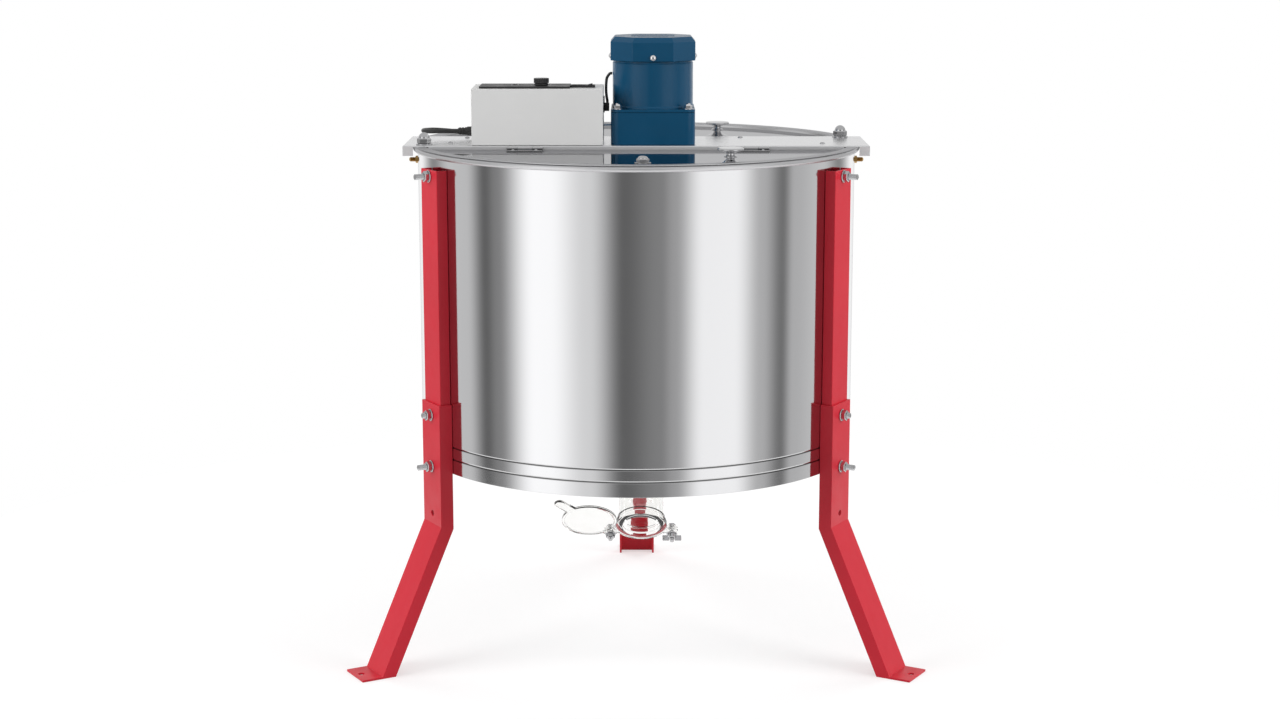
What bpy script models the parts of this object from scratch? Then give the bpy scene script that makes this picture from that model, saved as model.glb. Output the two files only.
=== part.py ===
import math

import bmesh
import bpy
import numpy as np
from mathutils import Matrix, Vector

# Sizes are in metres. Heights count up from the drum's rim, and a drop counts down from it.
GAP = 0.0003
ROUND = 40

DRUM_R = 0.310
DRUM_WALL = 0.0012
DRUM_HEIGHT = 0.442
DRUM_CLEARANCE = 0.278
RIM_TUBE_R = 0.004
GROOVE_RISES = (0.0375, 0.0205)
GROOVE_HALF = 0.003
GROOVE_DEPTH = 0.0006
BOTTOM_SHEET = 0.0012
BOTTOM_SKIRT = 0.0135
BOTTOM_DEPTH = 0.030
BOTTOM_LIFT = 0.0005
OUTLET_X = 0.007
OUTLET_Y = -0.060
LAND_R = 0.046
BRIDGE_WIDTH = 0.040
BRIDGE_THICK = 0.004
BRIDGE_RISE = 0.014
BRIDGE_END_GAP = 0.0018

LEG_AZIMUTHS = {"left": 210.0, "right": 330.0, "rear": 90.0}
LEG_DEPTH = 0.015
LEG_WIDTH = 0.0497
LEG_SHEET = 0.003
LEG_TOP_DROP = 0.021
UPPER_LEG_END_DROP = 0.470
SLEEVE_TOP_DROP = 0.344
LEG_BEND_DROP = 0.516
FOOT_SPREAD = 0.097
FOOT_PLATE = 0.029
FOOT_HOLE_R = 0.0045
FOOT_HOLE_AHEAD = 0.019
LEG_BOLT_R = 0.004
LEG_BOLT_STICK = 0.021
TOP_BOLT_DROP = 0.030
JOINT_BOLT_DROP = 0.434
SPARE_HOLE_DROP = 0.501

BAR_OVERHANG = 0.016
BAR_DEPTH = 0.140
BAR_SHEET = 0.002
BAR_HOOD_GAP = 0.0017
BAR_HOOD_DROP = 0.012
BAR_LIP_INSET = 0.020
BAR_LIP_DROP = 0.014
BAR_EAR_WIDTH = 0.024
BAR_EAR_DROP = 0.033
BAR_SCREW_R = 0.0025
BAR_SCREW_DROP = 0.024
BAR_SCREW_STICK = 0.014

LID_OVERHANG = 0.0065
LID_SHEET = 0.0012
LID_DISH = 0.0035
LID_DISH_INSET = 0.0085
LID_EDGE_GAP = 0.0025
LID_CORNER_CLEAR = 0.002
HINGE_PIN_R = 0.0012
HINGE_KNUCKLE_R = 0.0026
HINGE_LENGTH = 0.050
HINGE_SETBACK = 0.0045
HINGE_DROP = 0.001
HINGE_LEAF = 0.0012
HINGE_FRONT_X = (-0.155, 0.160)
HINGE_REAR_X = (-0.262, 0.152)
KNOB_HEIGHT = 0.022
KNOB_FRONT = (0.1245, -0.255)
KNOB_REAR = (0.1195, 0.128)

GEAR_MODULE = 0.001
PINION_TEETH = 10
GEAR_TEETH = 37
GEARBOX_SIDE = 0.118
GEARBOX_CORNER = 0.012
GEARBOX_HEIGHT = 0.0444
GEARBOX_WALL = 0.006
GEARBOX_FLOOR = 0.004
FLANGE_THICK = 0.004
MOTOR_R = 0.0568
MOTOR_BORE_R = 0.0495
MOTOR_TOP = 0.1175
MOTOR_FLOOR = 0.003
COVER_SIDE = 0.119
COVER_CHAMFER = 0.031
COVER_TOP = 0.151
COVER_SHEET = 0.002
STATOR_BORE_R = 0.031
STATOR_HEIGHT = 0.041
ROTOR_R = 0.0303
ROTOR_SHAFT_R = 0.005
FAN_R = 0.045
FAN_HUB_R = 0.012
FAN_BLADE_LENGTH = 0.034
OUTPUT_SHAFT_R = 0.008
UPPER_BEARING_R = 0.022
UPPER_BEARING_DROP = 0.013

BASKET_WALL_GAP = 0.024
BASKET_BAR = 0.006
BASKET_HUB_R = 0.032
BASKET_HUB_HALF = 0.008
BASKET_INNER_R = 0.072
BASKET_INNER_HALF = 0.0025
SPOKES = 8
SPOKE_WIDTH = 0.0055
SPOKE_THICK = 0.004
BASKET_TOP_DROP = 0.090
BASKET_CLEARANCE = 0.0037
BASKET_ROD_R = 0.005
BASKET_SHAFT_R = 0.0125
BASKET_SHAFT_TOP_DROP = 0.024
BEARING_R = 0.020
BEARING_HEIGHT = 0.016
BEARING_BORE = 0.012

BOX_X = (-0.2295, -0.0464)
BOX_Y = (-0.0695, 0.0255)
BOX_TOP = 0.081
BOX_SHEET = 0.0015
PANEL_X = (-0.219, -0.0925)
PANEL_Y = (-0.062, -0.002)
PANEL_THICK = 0.0025
DIAL_X = -0.133
DIAL_Y = -0.035
DIAL_R = 0.011
DIAL_HEIGHT = 0.0095
DIAL_STEM_R = 0.003
BUTTON_X = -0.170
BUTTON_R = 0.0035
BUTTON_RISE = 0.0015
ROCKER_X = -0.075
ROCKER_LENGTH = 0.030
ROCKER_WIDTH = 0.014
ROCKER_TILT = 8.0
GROMMET_Z = (0.043, 0.066)
GROMMET_PLATE = 0.0012
LEAD_R = 0.002
LEAD_TOP = 0.098
GLAND_Y = -0.025
GLAND_Z = 0.0186
GLAND_R = 0.00765
GLAND_LENGTH = 0.022

SPOUT_R = 0.032
SPOUT_BORE_R = 0.027
SPOUT_FLANGE_R = 0.0368
SPOUT_NECK = 0.008
SPOUT_COLLAR = 0.0037
SPOUT_COLLAR_R = 0.040
SPOUT_DROP = 0.0159
SPOUT_NUT_R = 0.042
SPOUT_TURN_R = 0.045
SPOUT_RUN = 0.0238
GATE_TILT = 45.0
EAR_X = 0.044
EAR_Y = -0.012
EAR_THICK = 0.006
FLAP_R = 0.039
FLAP_THICK = 0.004
FLAP_REACH = 0.115
FLAP_OPEN = 115.7
GATE_BOLT_R = 0.003

CORD_D = 0.0065
CORD_TURN_R = 0.0275
HANK_HALF_RUN = 0.045
HANK_X = -0.143
HANK_INNER_R = 0.0195
HANK_STEP = 0.0075
HANK_LOOPS = 2
HANK_WAIST = 0.010
PLUG_SIDE = 0.018
PLUG_LENGTH = 0.045
PLUG_X = -0.135

RIM_HEIGHT = DRUM_CLEARANCE + DRUM_HEIGHT
FLOOR = -RIM_HEIGHT
LEG_REACH = DRUM_R + LEG_DEPTH
FOOT_BEND_R = LEG_REACH + FOOT_SPREAD
FOOT_REACH = FOOT_BEND_R + FOOT_PLATE
FOOT_HOLE_REACH = FOOT_BEND_R + FOOT_HOLE_AHEAD
WALL_IN = DRUM_R - DRUM_WALL
RIM_OUTER_R = WALL_IN + 2 * RIM_TUBE_R
AXIS_Y = -(FOOT_REACH - RIM_OUTER_R) / 2
BAR_UNDER = GAP
BAR_TOP = BAR_UNDER + BAR_SHEET
HALF_BAR = BAR_DEPTH / 2
GEAR_CENTRES = GEAR_MODULE * (PINION_TEETH + GEAR_TEETH) / 2
BOX_BASE = BAR_TOP + GAP
LAND_TOP = -DRUM_HEIGHT + BOTTOM_LIFT - BOTTOM_DEPTH
BRIDGE_DROP = DRUM_HEIGHT - BRIDGE_RISE
BEARING_TOP = -BRIDGE_DROP + GAP + BEARING_HEIGHT
BASKET_BOTTOM_DROP = -BEARING_TOP - BASKET_HUB_HALF - BASKET_CLEARANCE
BAR_HALF = DRUM_R + BAR_OVERHANG
BAR_HOOD_START = DRUM_R + BAR_HOOD_GAP
BAR_LIP_HALF = DRUM_R - BAR_LIP_INSET
BAR_SCREW_REACH = DRUM_R + BAR_SCREW_STICK
LID_R = DRUM_R + LID_OVERHANG
LID_DISH_R = DRUM_R - LID_DISH_INSET
BASKET_R = DRUM_R - BASKET_WALL_GAP
HINGE_Y = HALF_BAR + HINGE_SETBACK


def clear_scene():
    for found in list(bpy.data.objects):
        bpy.data.objects.remove(found, do_unlink=True)


def finish_of(name, colour, roughness, metallic):
    made = bpy.data.materials.new(name + "_finish")
    made.use_nodes = True
    shader = made.node_tree.nodes["Principled BSDF"]
    shader.inputs["Base Color"].default_value = (*colour, 1.0)
    shader.inputs["Roughness"].default_value = roughness
    shader.inputs["Metallic"].default_value = metallic
    made.diffuse_color = (*colour, 1.0)
    return made


STEEL = ((0.72, 0.72, 0.73), 0.22, 1.0)
BRIGHT = ((0.80, 0.80, 0.81), 0.12, 1.0)
DARK_STEEL = ((0.35, 0.35, 0.36), 0.4, 1.0)
RED = ((0.60, 0.045, 0.065), 0.45, 0.0)
BLUE = ((0.012, 0.062, 0.14), 0.45, 0.0)
GREY = ((0.58, 0.58, 0.57), 0.5, 0.0)
BLACK = ((0.02, 0.02, 0.022), 0.5, 0.0)
BRASS = ((0.66, 0.45, 0.16), 0.3, 1.0)
COPPER = ((0.55, 0.24, 0.12), 0.45, 1.0)
CLEAR = ((0.80, 0.80, 0.76), 0.3, 0.0)


def add(name, bm, look, parent, origin=(0, 0, 0), turn=(0, 0, 0), local=False):
    """Makes the named piece, with its origin where it turns or sits."""
    if not local:
        bmesh.ops.translate(bm, verts=bm.verts, vec=-Vector(origin))
    mesh = bpy.data.meshes.new(name)
    bm.to_mesh(mesh)
    bm.free()
    mesh.shade_smooth()
    mesh.set_sharp_from_angle(angle=math.radians(32))
    piece = bpy.data.objects.new(name, mesh)
    bpy.context.collection.objects.link(piece)
    piece.parent = parent
    piece.location = origin
    piece.rotation_euler = turn
    mesh.materials.append(finish_of(name, *look))
    return piece


def combine(piece, bm, operation, local=False):
    """Cuts the shapes in bm from the piece, or joins them to it."""
    if not local:
        bmesh.ops.translate(bm, verts=bm.verts, vec=-piece.location)
    name = piece.name + "_" + operation.lower()
    mesh = bpy.data.meshes.new(name)
    bm.to_mesh(mesh)
    bm.free()
    tool = bpy.data.objects.new(name, mesh)
    bpy.context.collection.objects.link(tool)
    tool.parent = piece
    tool.hide_render = True
    tool.display_type = "WIRE"
    change = piece.modifiers.new(operation.lower(), "BOOLEAN")
    change.solver = "EXACT"
    change.operation = operation
    change.object = tool
    change.use_self = True


def cut(piece, bm, local=False):
    combine(piece, bm, "DIFFERENCE", local)


def join(piece, bm, local=False):
    combine(piece, bm, "UNION", local)


def turned(profile, steps=ROUND):
    """A closed outline of (radius, height) points turned about Z."""
    bm = bmesh.new()
    verts = [bm.verts.new((r, 0, z)) for r, z in profile]
    edges = [bm.edges.new(pair) for pair in zip(verts, verts[1:])]
    if max(profile[0][0], profile[-1][0]) > 1e-9:
        edges.append(bm.edges.new((verts[-1], verts[0])))
    bmesh.ops.spin(bm, geom=verts + edges, axis=(0, 0, 1), cent=(0, 0, 0), angle=math.tau, steps=steps,
                   use_merge=True)
    bmesh.ops.remove_doubles(bm, verts=bm.verts, dist=1e-6)
    bmesh.ops.recalc_face_normals(bm, faces=bm.faces)
    return bm


def stack(*steps):
    """Radius and height points of a turned piece, from (radius, bottom, top) runs going up."""
    profile = [(0, steps[0][1])]
    for radius, bottom, top in steps:
        profile += [(radius, bottom), (radius, top)]
    return profile + [(0, steps[-1][2])]


def prism(points, low, high):
    """An outline in XY pulled up along Z."""
    bm = bmesh.new()
    face = bm.faces.new([bm.verts.new((x, y, low)) for x, y in points])
    grown = bmesh.ops.extrude_face_region(bm, geom=[face])["geom"]
    top = [item for item in grown if isinstance(item, bmesh.types.BMVert)]
    bmesh.ops.translate(bm, verts=top, vec=(0, 0, high - low))
    bmesh.ops.recalc_face_normals(bm, faces=bm.faces)
    return bm


def side_prism(points, half):
    """An outline in XZ pulled both ways along Y."""
    bm = prism(points, -half, half)
    bmesh.ops.rotate(bm, verts=bm.verts, cent=(0, 0, 0), matrix=Matrix.Rotation(math.pi / 2, 3, "X"))
    return bm


def blocks(*spans):
    """Boxes, each from its X, Y and Z spans."""
    bm = bmesh.new()
    for span in spans:
        sides = [max(pair) - min(pair) for pair in span]
        middle = [sum(pair) / 2 for pair in span]
        place = Matrix.Translation(middle) @ Matrix.Diagonal((*sides, 1))
        bmesh.ops.create_cube(bm, size=1, matrix=place)
    return bm


def rods(*rods_wanted, steps=16):
    """Solid rods, each from its two ends and its radius."""
    bm = bmesh.new()
    for start, end, radius in rods_wanted:
        start = Vector(start)
        along = Vector(end) - start
        turn = Vector((0, 0, 1)).rotation_difference(along.normalized()).to_matrix().to_4x4()
        place = Matrix.Translation(start + along / 2) @ turn @ Matrix.Rotation(math.pi / steps, 4, "Z")
        bmesh.ops.create_cone(bm, cap_ends=True, segments=steps, radius1=radius, radius2=radius,
                              depth=along.length, matrix=place)
    return bm


def merged(*parts):
    """Several shapes in one mesh."""
    bm = bmesh.new()
    for part in parts:
        mesh = bpy.data.meshes.new("shapes")
        part.to_mesh(mesh)
        part.free()
        bm.from_mesh(mesh)
        bpy.data.meshes.remove(mesh)
    return bm


def moved(bm, place):
    bmesh.ops.transform(bm, matrix=place, verts=bm.verts)
    return bm


def ring_loft(rings, steps, closed):
    """A skin through rings, each a placement and a radius. It closes on its first ring or is capped."""
    bm = bmesh.new()
    bmesh.ops.create_circle(bm, radius=rings[0][1], segments=steps, matrix=rings[0][0])
    edges = list(bm.edges)
    route = rings + rings[:1] if closed else rings
    for (old, old_r), (new, new_r) in zip(route, route[1:]):
        grown = bmesh.ops.extrude_edge_only(bm, edges=edges)["geom"]
        verts = {item for item in grown if isinstance(item, bmesh.types.BMVert)}
        edges = [side for side in grown if isinstance(side, bmesh.types.BMEdge) and set(side.verts) <= verts]
        step = new @ Matrix.Scale(new_r / old_r, 4) @ old.inverted()
        bmesh.ops.transform(bm, matrix=step, verts=list(verts))
    bmesh.ops.remove_doubles(bm, verts=bm.verts, dist=1e-6)
    if not closed:
        bmesh.ops.holes_fill(bm, edges=bm.edges)
    bmesh.ops.recalc_face_normals(bm, faces=bm.faces)
    return bm


def rounded(half_x, half_y, radius, middle=(0, 0), steps=4):
    """Points round a rectangle with rounded corners."""
    points = []
    for quarter, (sx, sy) in enumerate(((1, 1), (-1, 1), (-1, -1), (1, -1))):
        for step in range(steps + 1):
            turn = math.pi / 2 * (quarter + step / steps)
            x = middle[0] + sx * (half_x - radius) + radius * math.cos(turn)
            y = middle[1] + sy * (half_y - radius) + radius * math.sin(turn)
            points.append((x, y))
    return points


def smooth_route(points, spacing):
    """Points at an even spacing along a smooth curve through the route's points."""
    p = np.array(points, float)
    p = np.vstack([2 * p[0] - p[1], p, 2 * p[-1] - p[-2]])
    fine = []
    for i in range(1, len(p) - 2):
        for t in np.linspace(0, 1, 24, endpoint=False):
            fine.append(0.5 * (2 * p[i] + (p[i + 1] - p[i - 1]) * t
                               + (2 * p[i - 1] - 5 * p[i] + 4 * p[i + 1] - p[i + 2]) * t * t
                               + (3 * p[i] - p[i - 1] - 3 * p[i + 1] + p[i + 2]) * t ** 3))
    fine = np.array(fine + [p[-2]])
    along = np.concatenate([[0], np.cumsum(np.linalg.norm(np.diff(fine, axis=0), axis=1))])
    count = max(2, round(along[-1] / spacing))
    wanted = np.linspace(0, along[-1], count + 1)
    return np.stack([np.interp(wanted, along, fine[:, k]) for k in range(3)], axis=1)


def tube(name, points, radius, look, parent, resolution):
    """A round tube along the points."""
    curve = bpy.data.curves.new(name, "CURVE")
    curve.dimensions = "3D"
    curve.bevel_depth = radius
    curve.bevel_resolution = resolution
    curve.use_fill_caps = True
    spline = curve.splines.new("POLY")
    spline.points.add(len(points) - 1)
    for knot, point in zip(spline.points, points):
        knot.co = (*point, 1)
    piece = bpy.data.objects.new(name, curve)
    bpy.context.collection.objects.link(piece)
    piece.parent = parent
    curve.materials.append(finish_of(name, *look))
    return piece


def empty(name, parent, location, turn=(0, 0, 0)):
    made = bpy.data.objects.new(name, None)
    bpy.context.collection.objects.link(made)
    made.empty_display_size = 0.05
    made.parent = parent
    made.location = location
    made.rotation_euler = turn
    return made


def make_drum(root):
    centre = WALL_IN + RIM_TUBE_R
    last = math.acos((DRUM_R - centre) / RIM_TUBE_R)
    profile = []
    for turn in np.linspace(math.pi, -last, 8):
        profile.append((centre + RIM_TUBE_R * math.cos(turn), -RIM_TUBE_R + RIM_TUBE_R * math.sin(turn)))
    for rise in GROOVE_RISES:
        z = rise - DRUM_HEIGHT
        profile += [(DRUM_R, z + GROOVE_HALF), (DRUM_R - GROOVE_DEPTH, z), (DRUM_R, z - GROOVE_HALF)]
    profile += [(DRUM_R, -DRUM_HEIGHT), (WALL_IN, -DRUM_HEIGHT)]
    shell = add("drum_shell", turned(profile), BRIGHT, root)
    holes = []
    for azimuth in LEG_AZIMUTHS.values():
        out = Vector((math.cos(math.radians(azimuth)), math.sin(math.radians(azimuth)), 0))
        up = Vector((0, 0, -TOP_BOLT_DROP))
        holes.append((out * (WALL_IN - 0.01) + up, out * (DRUM_R + 0.01) + up, LEG_BOLT_R + GAP))
    for side in (-1, 1):
        start = (side * (WALL_IN - 0.01), 0, -BAR_SCREW_DROP)
        end = (side * (DRUM_R + 0.01), 0, -BAR_SCREW_DROP)
        holes.append((start, end, BAR_SCREW_R + GAP))
    cut(shell, rods(*holes, steps=12))

    skirt_r = WALL_IN - GAP
    skirt_low = LAND_TOP + BOTTOM_DEPTH
    land_r = SPOUT_R + GAP

    def ring(x, y, z, radius):
        return (Matrix.Translation((x, y, z)), radius)

    outlet = (OUTLET_X, OUTLET_Y)
    rings = [
        ring(0, 0, skirt_low + BOTTOM_SKIRT, skirt_r),
        ring(0, 0, skirt_low - BOTTOM_SHEET, skirt_r),
        ring(*outlet, LAND_TOP - BOTTOM_SHEET, LAND_R),
        ring(*outlet, LAND_TOP - BOTTOM_SHEET, land_r),
        ring(*outlet, LAND_TOP, land_r),
        ring(*outlet, LAND_TOP, LAND_R),
        ring(0, 0, skirt_low, skirt_r - BOTTOM_SHEET),
        ring(0, 0, skirt_low + BOTTOM_SKIRT, skirt_r - BOTTOM_SHEET),
    ]
    add("drum_bottom", ring_loft(rings, ROUND, True), STEEL, root)
    reach = skirt_r - BOTTOM_SHEET - BRIDGE_END_GAP
    top = -BRIDGE_DROP
    bridge = blocks(((-reach, reach), (-BRIDGE_WIDTH / 2, BRIDGE_WIDTH / 2), (top - BRIDGE_THICK, top)))
    add("bottom_bridge", bridge, STEEL, root)
    base = top + GAP
    bore_r = OUTPUT_SHAFT_R + GAP
    cup = [(0, base), (BEARING_R, base), (BEARING_R, BEARING_TOP), (bore_r, BEARING_TOP),
           (bore_r, BEARING_TOP - BEARING_BORE), (0, BEARING_TOP - BEARING_BORE)]
    add("lower_bearing", turned(cup, 20), DARK_STEEL, root)


def leg_bolt(name, parent, drop, azimuth, inner, face):
    """A bolt along the leg's radius: its head lies inside, its washer, nut and stud on the leg's face."""
    r = LEG_BOLT_R
    head = (1.7 * r, inner - 0.004, inner)
    shank = (r, inner, face + GAP)
    washer = (2.1 * r, face + GAP, face + GAP + 0.0016)
    nut = (1.75 * r, face + GAP + 0.0016, face + 0.0085)
    stud = (r, face + 0.0085, face + LEG_BOLT_STICK)
    bm = turned(stack(head, shank, washer, nut, stud), 10)
    turn = (0, math.pi / 2, math.radians(azimuth))
    add(name, bm, STEEL, parent, (0, 0, -drop), turn, local=True)


def make_legs(root):
    half = LEG_WIDTH / 2
    seat_in = half - LEG_SHEET
    seat = math.sqrt((DRUM_R + GAP) ** 2 - seat_in ** 2)
    web = LEG_REACH - LEG_SHEET
    hole_r = LEG_BOLT_R + GAP
    low_face = LEG_REACH + GAP + LEG_SHEET
    low_half = half + GAP + LEG_SHEET
    low_in = half + GAP
    low_seat = math.sqrt((DRUM_R + GAP) ** 2 - low_in ** 2)
    depth = low_face - low_seat
    slope = math.atan2(FOOT_BEND_R - low_face, RIM_HEIGHT - LEG_BEND_DROP)

    def bend(inset):
        """Where the bend, and the sloping part at the floor, lie at this depth from the outer face."""
        share = inset / (1 + math.cos(slope))
        corner = (low_face - share * (1 + math.cos(slope)), -LEG_BEND_DROP - share * math.sin(slope))
        foot_r = FOOT_BEND_R - inset / math.cos(slope)
        return corner, (foot_r, FLOOR)

    outer_bend, outer_foot = bend(0)
    inner_bend, inner_foot = bend(depth)
    web_bend, web_foot = bend(LEG_SHEET)
    far_bend, far_foot = bend(depth + 0.012)
    spill = (far_foot[0] + 0.03 * math.sin(slope), FLOOR - 0.03 * math.cos(slope))
    web_spill = (web_foot[0] + 0.03 * math.sin(slope), FLOOR - 0.03 * math.cos(slope))
    low_outline = [(low_face, -SLEEVE_TOP_DROP), outer_bend, outer_foot, inner_foot, inner_bend,
                   (low_seat, -SLEEVE_TOP_DROP)]
    low_hollow = [(low_face - LEG_SHEET, 0.02 - SLEEVE_TOP_DROP), web_bend, web_spill, spill, far_bend,
                  (far_bend[0], 0.02 - SLEEVE_TOP_DROP)]
    for side, azimuth in LEG_AZIMUTHS.items():
        turn = (0, 0, math.radians(azimuth))
        outline = [(seat, -LEG_TOP_DROP), (LEG_REACH, -LEG_TOP_DROP), (LEG_REACH, -UPPER_LEG_END_DROP),
                   (seat, -UPPER_LEG_END_DROP)]
        upper = add("upper_leg_" + side, side_prism(outline, half), RED, root, turn=turn)
        hollow_z = (0.01 - LEG_TOP_DROP, -UPPER_LEG_END_DROP - 0.01)
        hollow = blocks(((seat - 0.01, web), (-seat_in, seat_in), hollow_z))
        holes = [((web - 0.01, 0, -drop), (LEG_REACH + 0.01, 0, -drop), hole_r)
                 for drop in (TOP_BOLT_DROP, JOINT_BOLT_DROP)]
        cut(upper, hollow)
        cut(upper, rods(*holes, steps=12))
        lower = add("lower_leg_" + side, side_prism(low_outline, low_half), RED, root, turn=turn)
        cut(lower, side_prism(low_hollow, low_in))
        plate_x = (FOOT_BEND_R - 0.003, FOOT_REACH)
        plate = blocks((plate_x, (-low_half, low_half), (FLOOR, FLOOR + LEG_SHEET)))
        join(lower, plate)
        holes = [((web, 0, -drop), (low_face + 0.01, 0, -drop), hole_r)
                 for drop in (JOINT_BOLT_DROP, SPARE_HOLE_DROP)]
        holes.append(((FOOT_HOLE_REACH, 0, FLOOR - 0.01), (FOOT_HOLE_REACH, 0, FLOOR + 0.01), FOOT_HOLE_R))
        cut(lower, rods(*holes, steps=12))
        leg_bolt("leg_top_bolt_" + side, root, TOP_BOLT_DROP, azimuth, WALL_IN - 0.0012, LEG_REACH)
        leg_bolt("leg_joint_bolt_" + side, root, JOINT_BOLT_DROP, azimuth, web - GAP, low_face)


def make_bar(root):
    plate = blocks(((-BAR_HALF, BAR_HALF), (-HALF_BAR, HALF_BAR), (BAR_UNDER, BAR_TOP)))
    bar = add("crossbar", plate, STEEL, root)
    folds = []
    ear_out = WALL_IN - 0.0012
    half_ear = BAR_EAR_WIDTH / 2
    inside = BAR_TOP - BAR_SHEET / 2
    for side in (-1, 1):
        hood = (side * BAR_HALF, side * (BAR_HALF - BAR_SHEET))
        folds.append((hood, (-HALF_BAR, HALF_BAR), (-BAR_HOOD_DROP, inside)))
        for edge in (-1, 1):
            wall = (edge * HALF_BAR, edge * (HALF_BAR - BAR_SHEET))
            flank = (side * BAR_HOOD_START, side * (BAR_HALF - BAR_SHEET / 2))
            folds.append((flank, wall, (-BAR_HOOD_DROP, inside)))
        ear = (side * ear_out, side * (ear_out - BAR_SHEET))
        folds.append((ear, (-half_ear, half_ear), (-BAR_EAR_DROP, inside)))
        lip = (side * HALF_BAR, side * (HALF_BAR - BAR_SHEET))
        folds.append(((-BAR_LIP_HALF, BAR_LIP_HALF), lip, (-BAR_LIP_DROP, inside)))
    join(bar, blocks(*folds))
    drop = -BAR_SCREW_DROP
    holes = [((0, 0, -0.02), (0, 0, 0.02), OUTPUT_SHAFT_R + 3 * GAP)]
    for side in (-1, 1):
        start = (side * (ear_out - 0.02), 0, drop)
        end = (side * (ear_out + 0.001), 0, drop)
        holes.append((start, end, BAR_SCREW_R + GAP))
    cut(bar, rods(*holes, steps=16))
    inner = ear_out - BAR_SHEET - GAP
    r = BAR_SCREW_R
    for side, turn in (("left", math.pi), ("right", 0)):
        nut = (2 * r, inner - 0.004, inner)
        shank = (r, inner, DRUM_R + GAP)
        flange = (2 * r, DRUM_R + GAP, DRUM_R + 0.004)
        stud = (1.3 * r, DRUM_R + 0.004, BAR_SCREW_REACH)
        screw = turned(stack(nut, shank, flange, stud), 12)
        add("bar_screw_" + side, screw, BRASS, root, (0, 0, drop), (0, math.pi / 2, turn), local=True)


def make_lid(root, name, hinge_names, toward, hinge_xs, knob):
    """A half lid, its two hinges and its knob. The lid opens about its hinge pins."""
    top = -LID_DISH
    low = top - LID_SHEET
    edge = HALF_BAR + LID_EDGE_GAP
    rise = LID_SHEET + GAP
    profile = [(0, top), (LID_DISH_R, top), (LID_DISH_R + 0.0015, rise), (LID_R, rise), (LID_R, GAP),
               (LID_DISH_R + 0.0028, GAP), (LID_DISH_R + 0.0012, low), (0, low)]
    bm = turned(profile)
    found = list(bm.verts) + list(bm.edges) + list(bm.faces)
    bmesh.ops.bisect_plane(bm, geom=found, dist=1e-7, plane_co=(0, toward * edge, 0),
                           plane_no=(0, -toward, 0), clear_outer=True)
    bmesh.ops.holes_fill(bm, edges=[side for side in bm.edges if side.is_boundary])
    bmesh.ops.recalc_face_normals(bm, faces=bm.faces)
    axis = (0, toward * HINGE_Y, -HINGE_DROP)
    lid = add("lid_" + name, bm, BRIGHT, root, axis)

    half = HINGE_LENGTH / 2
    third = 0.4 * half
    clear = third - GAP
    notch_end = HINGE_Y + HINGE_KNUCKLE_R + 3 * GAP
    corner = math.sqrt(WALL_IN ** 2 - HINGE_Y ** 2) - 0.003
    corner_y = (toward * (edge - 0.01), toward * (HINGE_Y + LID_CORNER_CLEAR))
    notch_z = (-0.012, 0.006)
    notches = [((side * corner, side * (LID_R + 0.01)), corner_y, notch_z) for side in (-1, 1)]
    leaves = []
    for x in hinge_xs:
        span = (x - half - 0.001, x + half + 0.001)
        notches.append((span, (toward * (edge - 0.01), toward * notch_end), notch_z))
        z = (low + LID_SHEET / 2, top + HINGE_LEAF + GAP)
        tongue_end = HINGE_Y + 0.65 * HINGE_KNUCKLE_R
        leaf = (toward * (notch_end + GAP), toward * (notch_end + 0.017))
        tongue = (toward * tongue_end, toward * (notch_end + 0.003))
        leaves.append(blocks(((x - half, x + half), leaf, z), ((x - clear, x + clear), tongue, z)))
        bore = HINGE_PIN_R + GAP
        wall = [(bore, -clear), (HINGE_KNUCKLE_R, -clear), (HINGE_KNUCKLE_R, clear), (bore, clear)]
        lie = Matrix.Translation((x, axis[1], axis[2])) @ Matrix.Rotation(math.pi / 2, 4, "Y")
        leaves.append(moved(turned(wall, 12), lie))
    cut(lid, blocks(*notches))
    join(lid, merged(*leaves))

    for hinge_name, x in zip(hinge_names, hinge_xs):
        r = HINGE_KNUCKLE_R
        profile = stack((r, -half, -third), (HINGE_PIN_R, -third, third), (r, third, half))
        lie = Matrix.Translation((x, axis[1], axis[2])) @ Matrix.Rotation(math.pi / 2, 4, "Y")
        hinge = add(hinge_name, moved(turned(profile, 12), lie), STEEL, root, (x, axis[1], axis[2]))
        face = HALF_BAR + GAP
        web_z = (-HINGE_DROP - 0.0008, -HINGE_DROP + 0.0008)
        leaf_y = (toward * face, toward * (face + HINGE_LEAF))
        web_y = (toward * (face + HINGE_LEAF / 2), toward * HINGE_Y)
        leaf_x = (x - half + 0.0005, x + half - 0.0005)
        left = (x - half + 0.001, x - third - 0.001)
        right = (x + third + 0.001, x + half - 0.001)
        join(hinge, blocks((leaf_x, leaf_y, (-BAR_LIP_DROP + 0.001, web_z[1])), (left, web_y, web_z),
                           (right, web_y, web_z)))

    base = top + GAP
    h = KNOB_HEIGHT
    profile = [(0, base), (0.0145, base), (0.0142, base + 0.0012), (0.009, base + 0.0035),
               (0.0055, base + 0.0065), (0.0055, base + 0.0078),
               (0.0085, base + 0.0088), (0.0085, base + 0.0104),
               (0.0055, base + 0.0116), (0.0055, base + 0.0145), (0.0100, base + 0.0165),
               (0.0170, base + 0.0180), (0.0178, base + 0.0196), (0.0165, base + h - 0.0008), (0, base + h)]
    grip = moved(turned(profile, 16), Matrix.Translation((*knob, 0)))
    add("lid_knob_" + name, grip, BRIGHT, root, (*knob, base))


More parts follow.
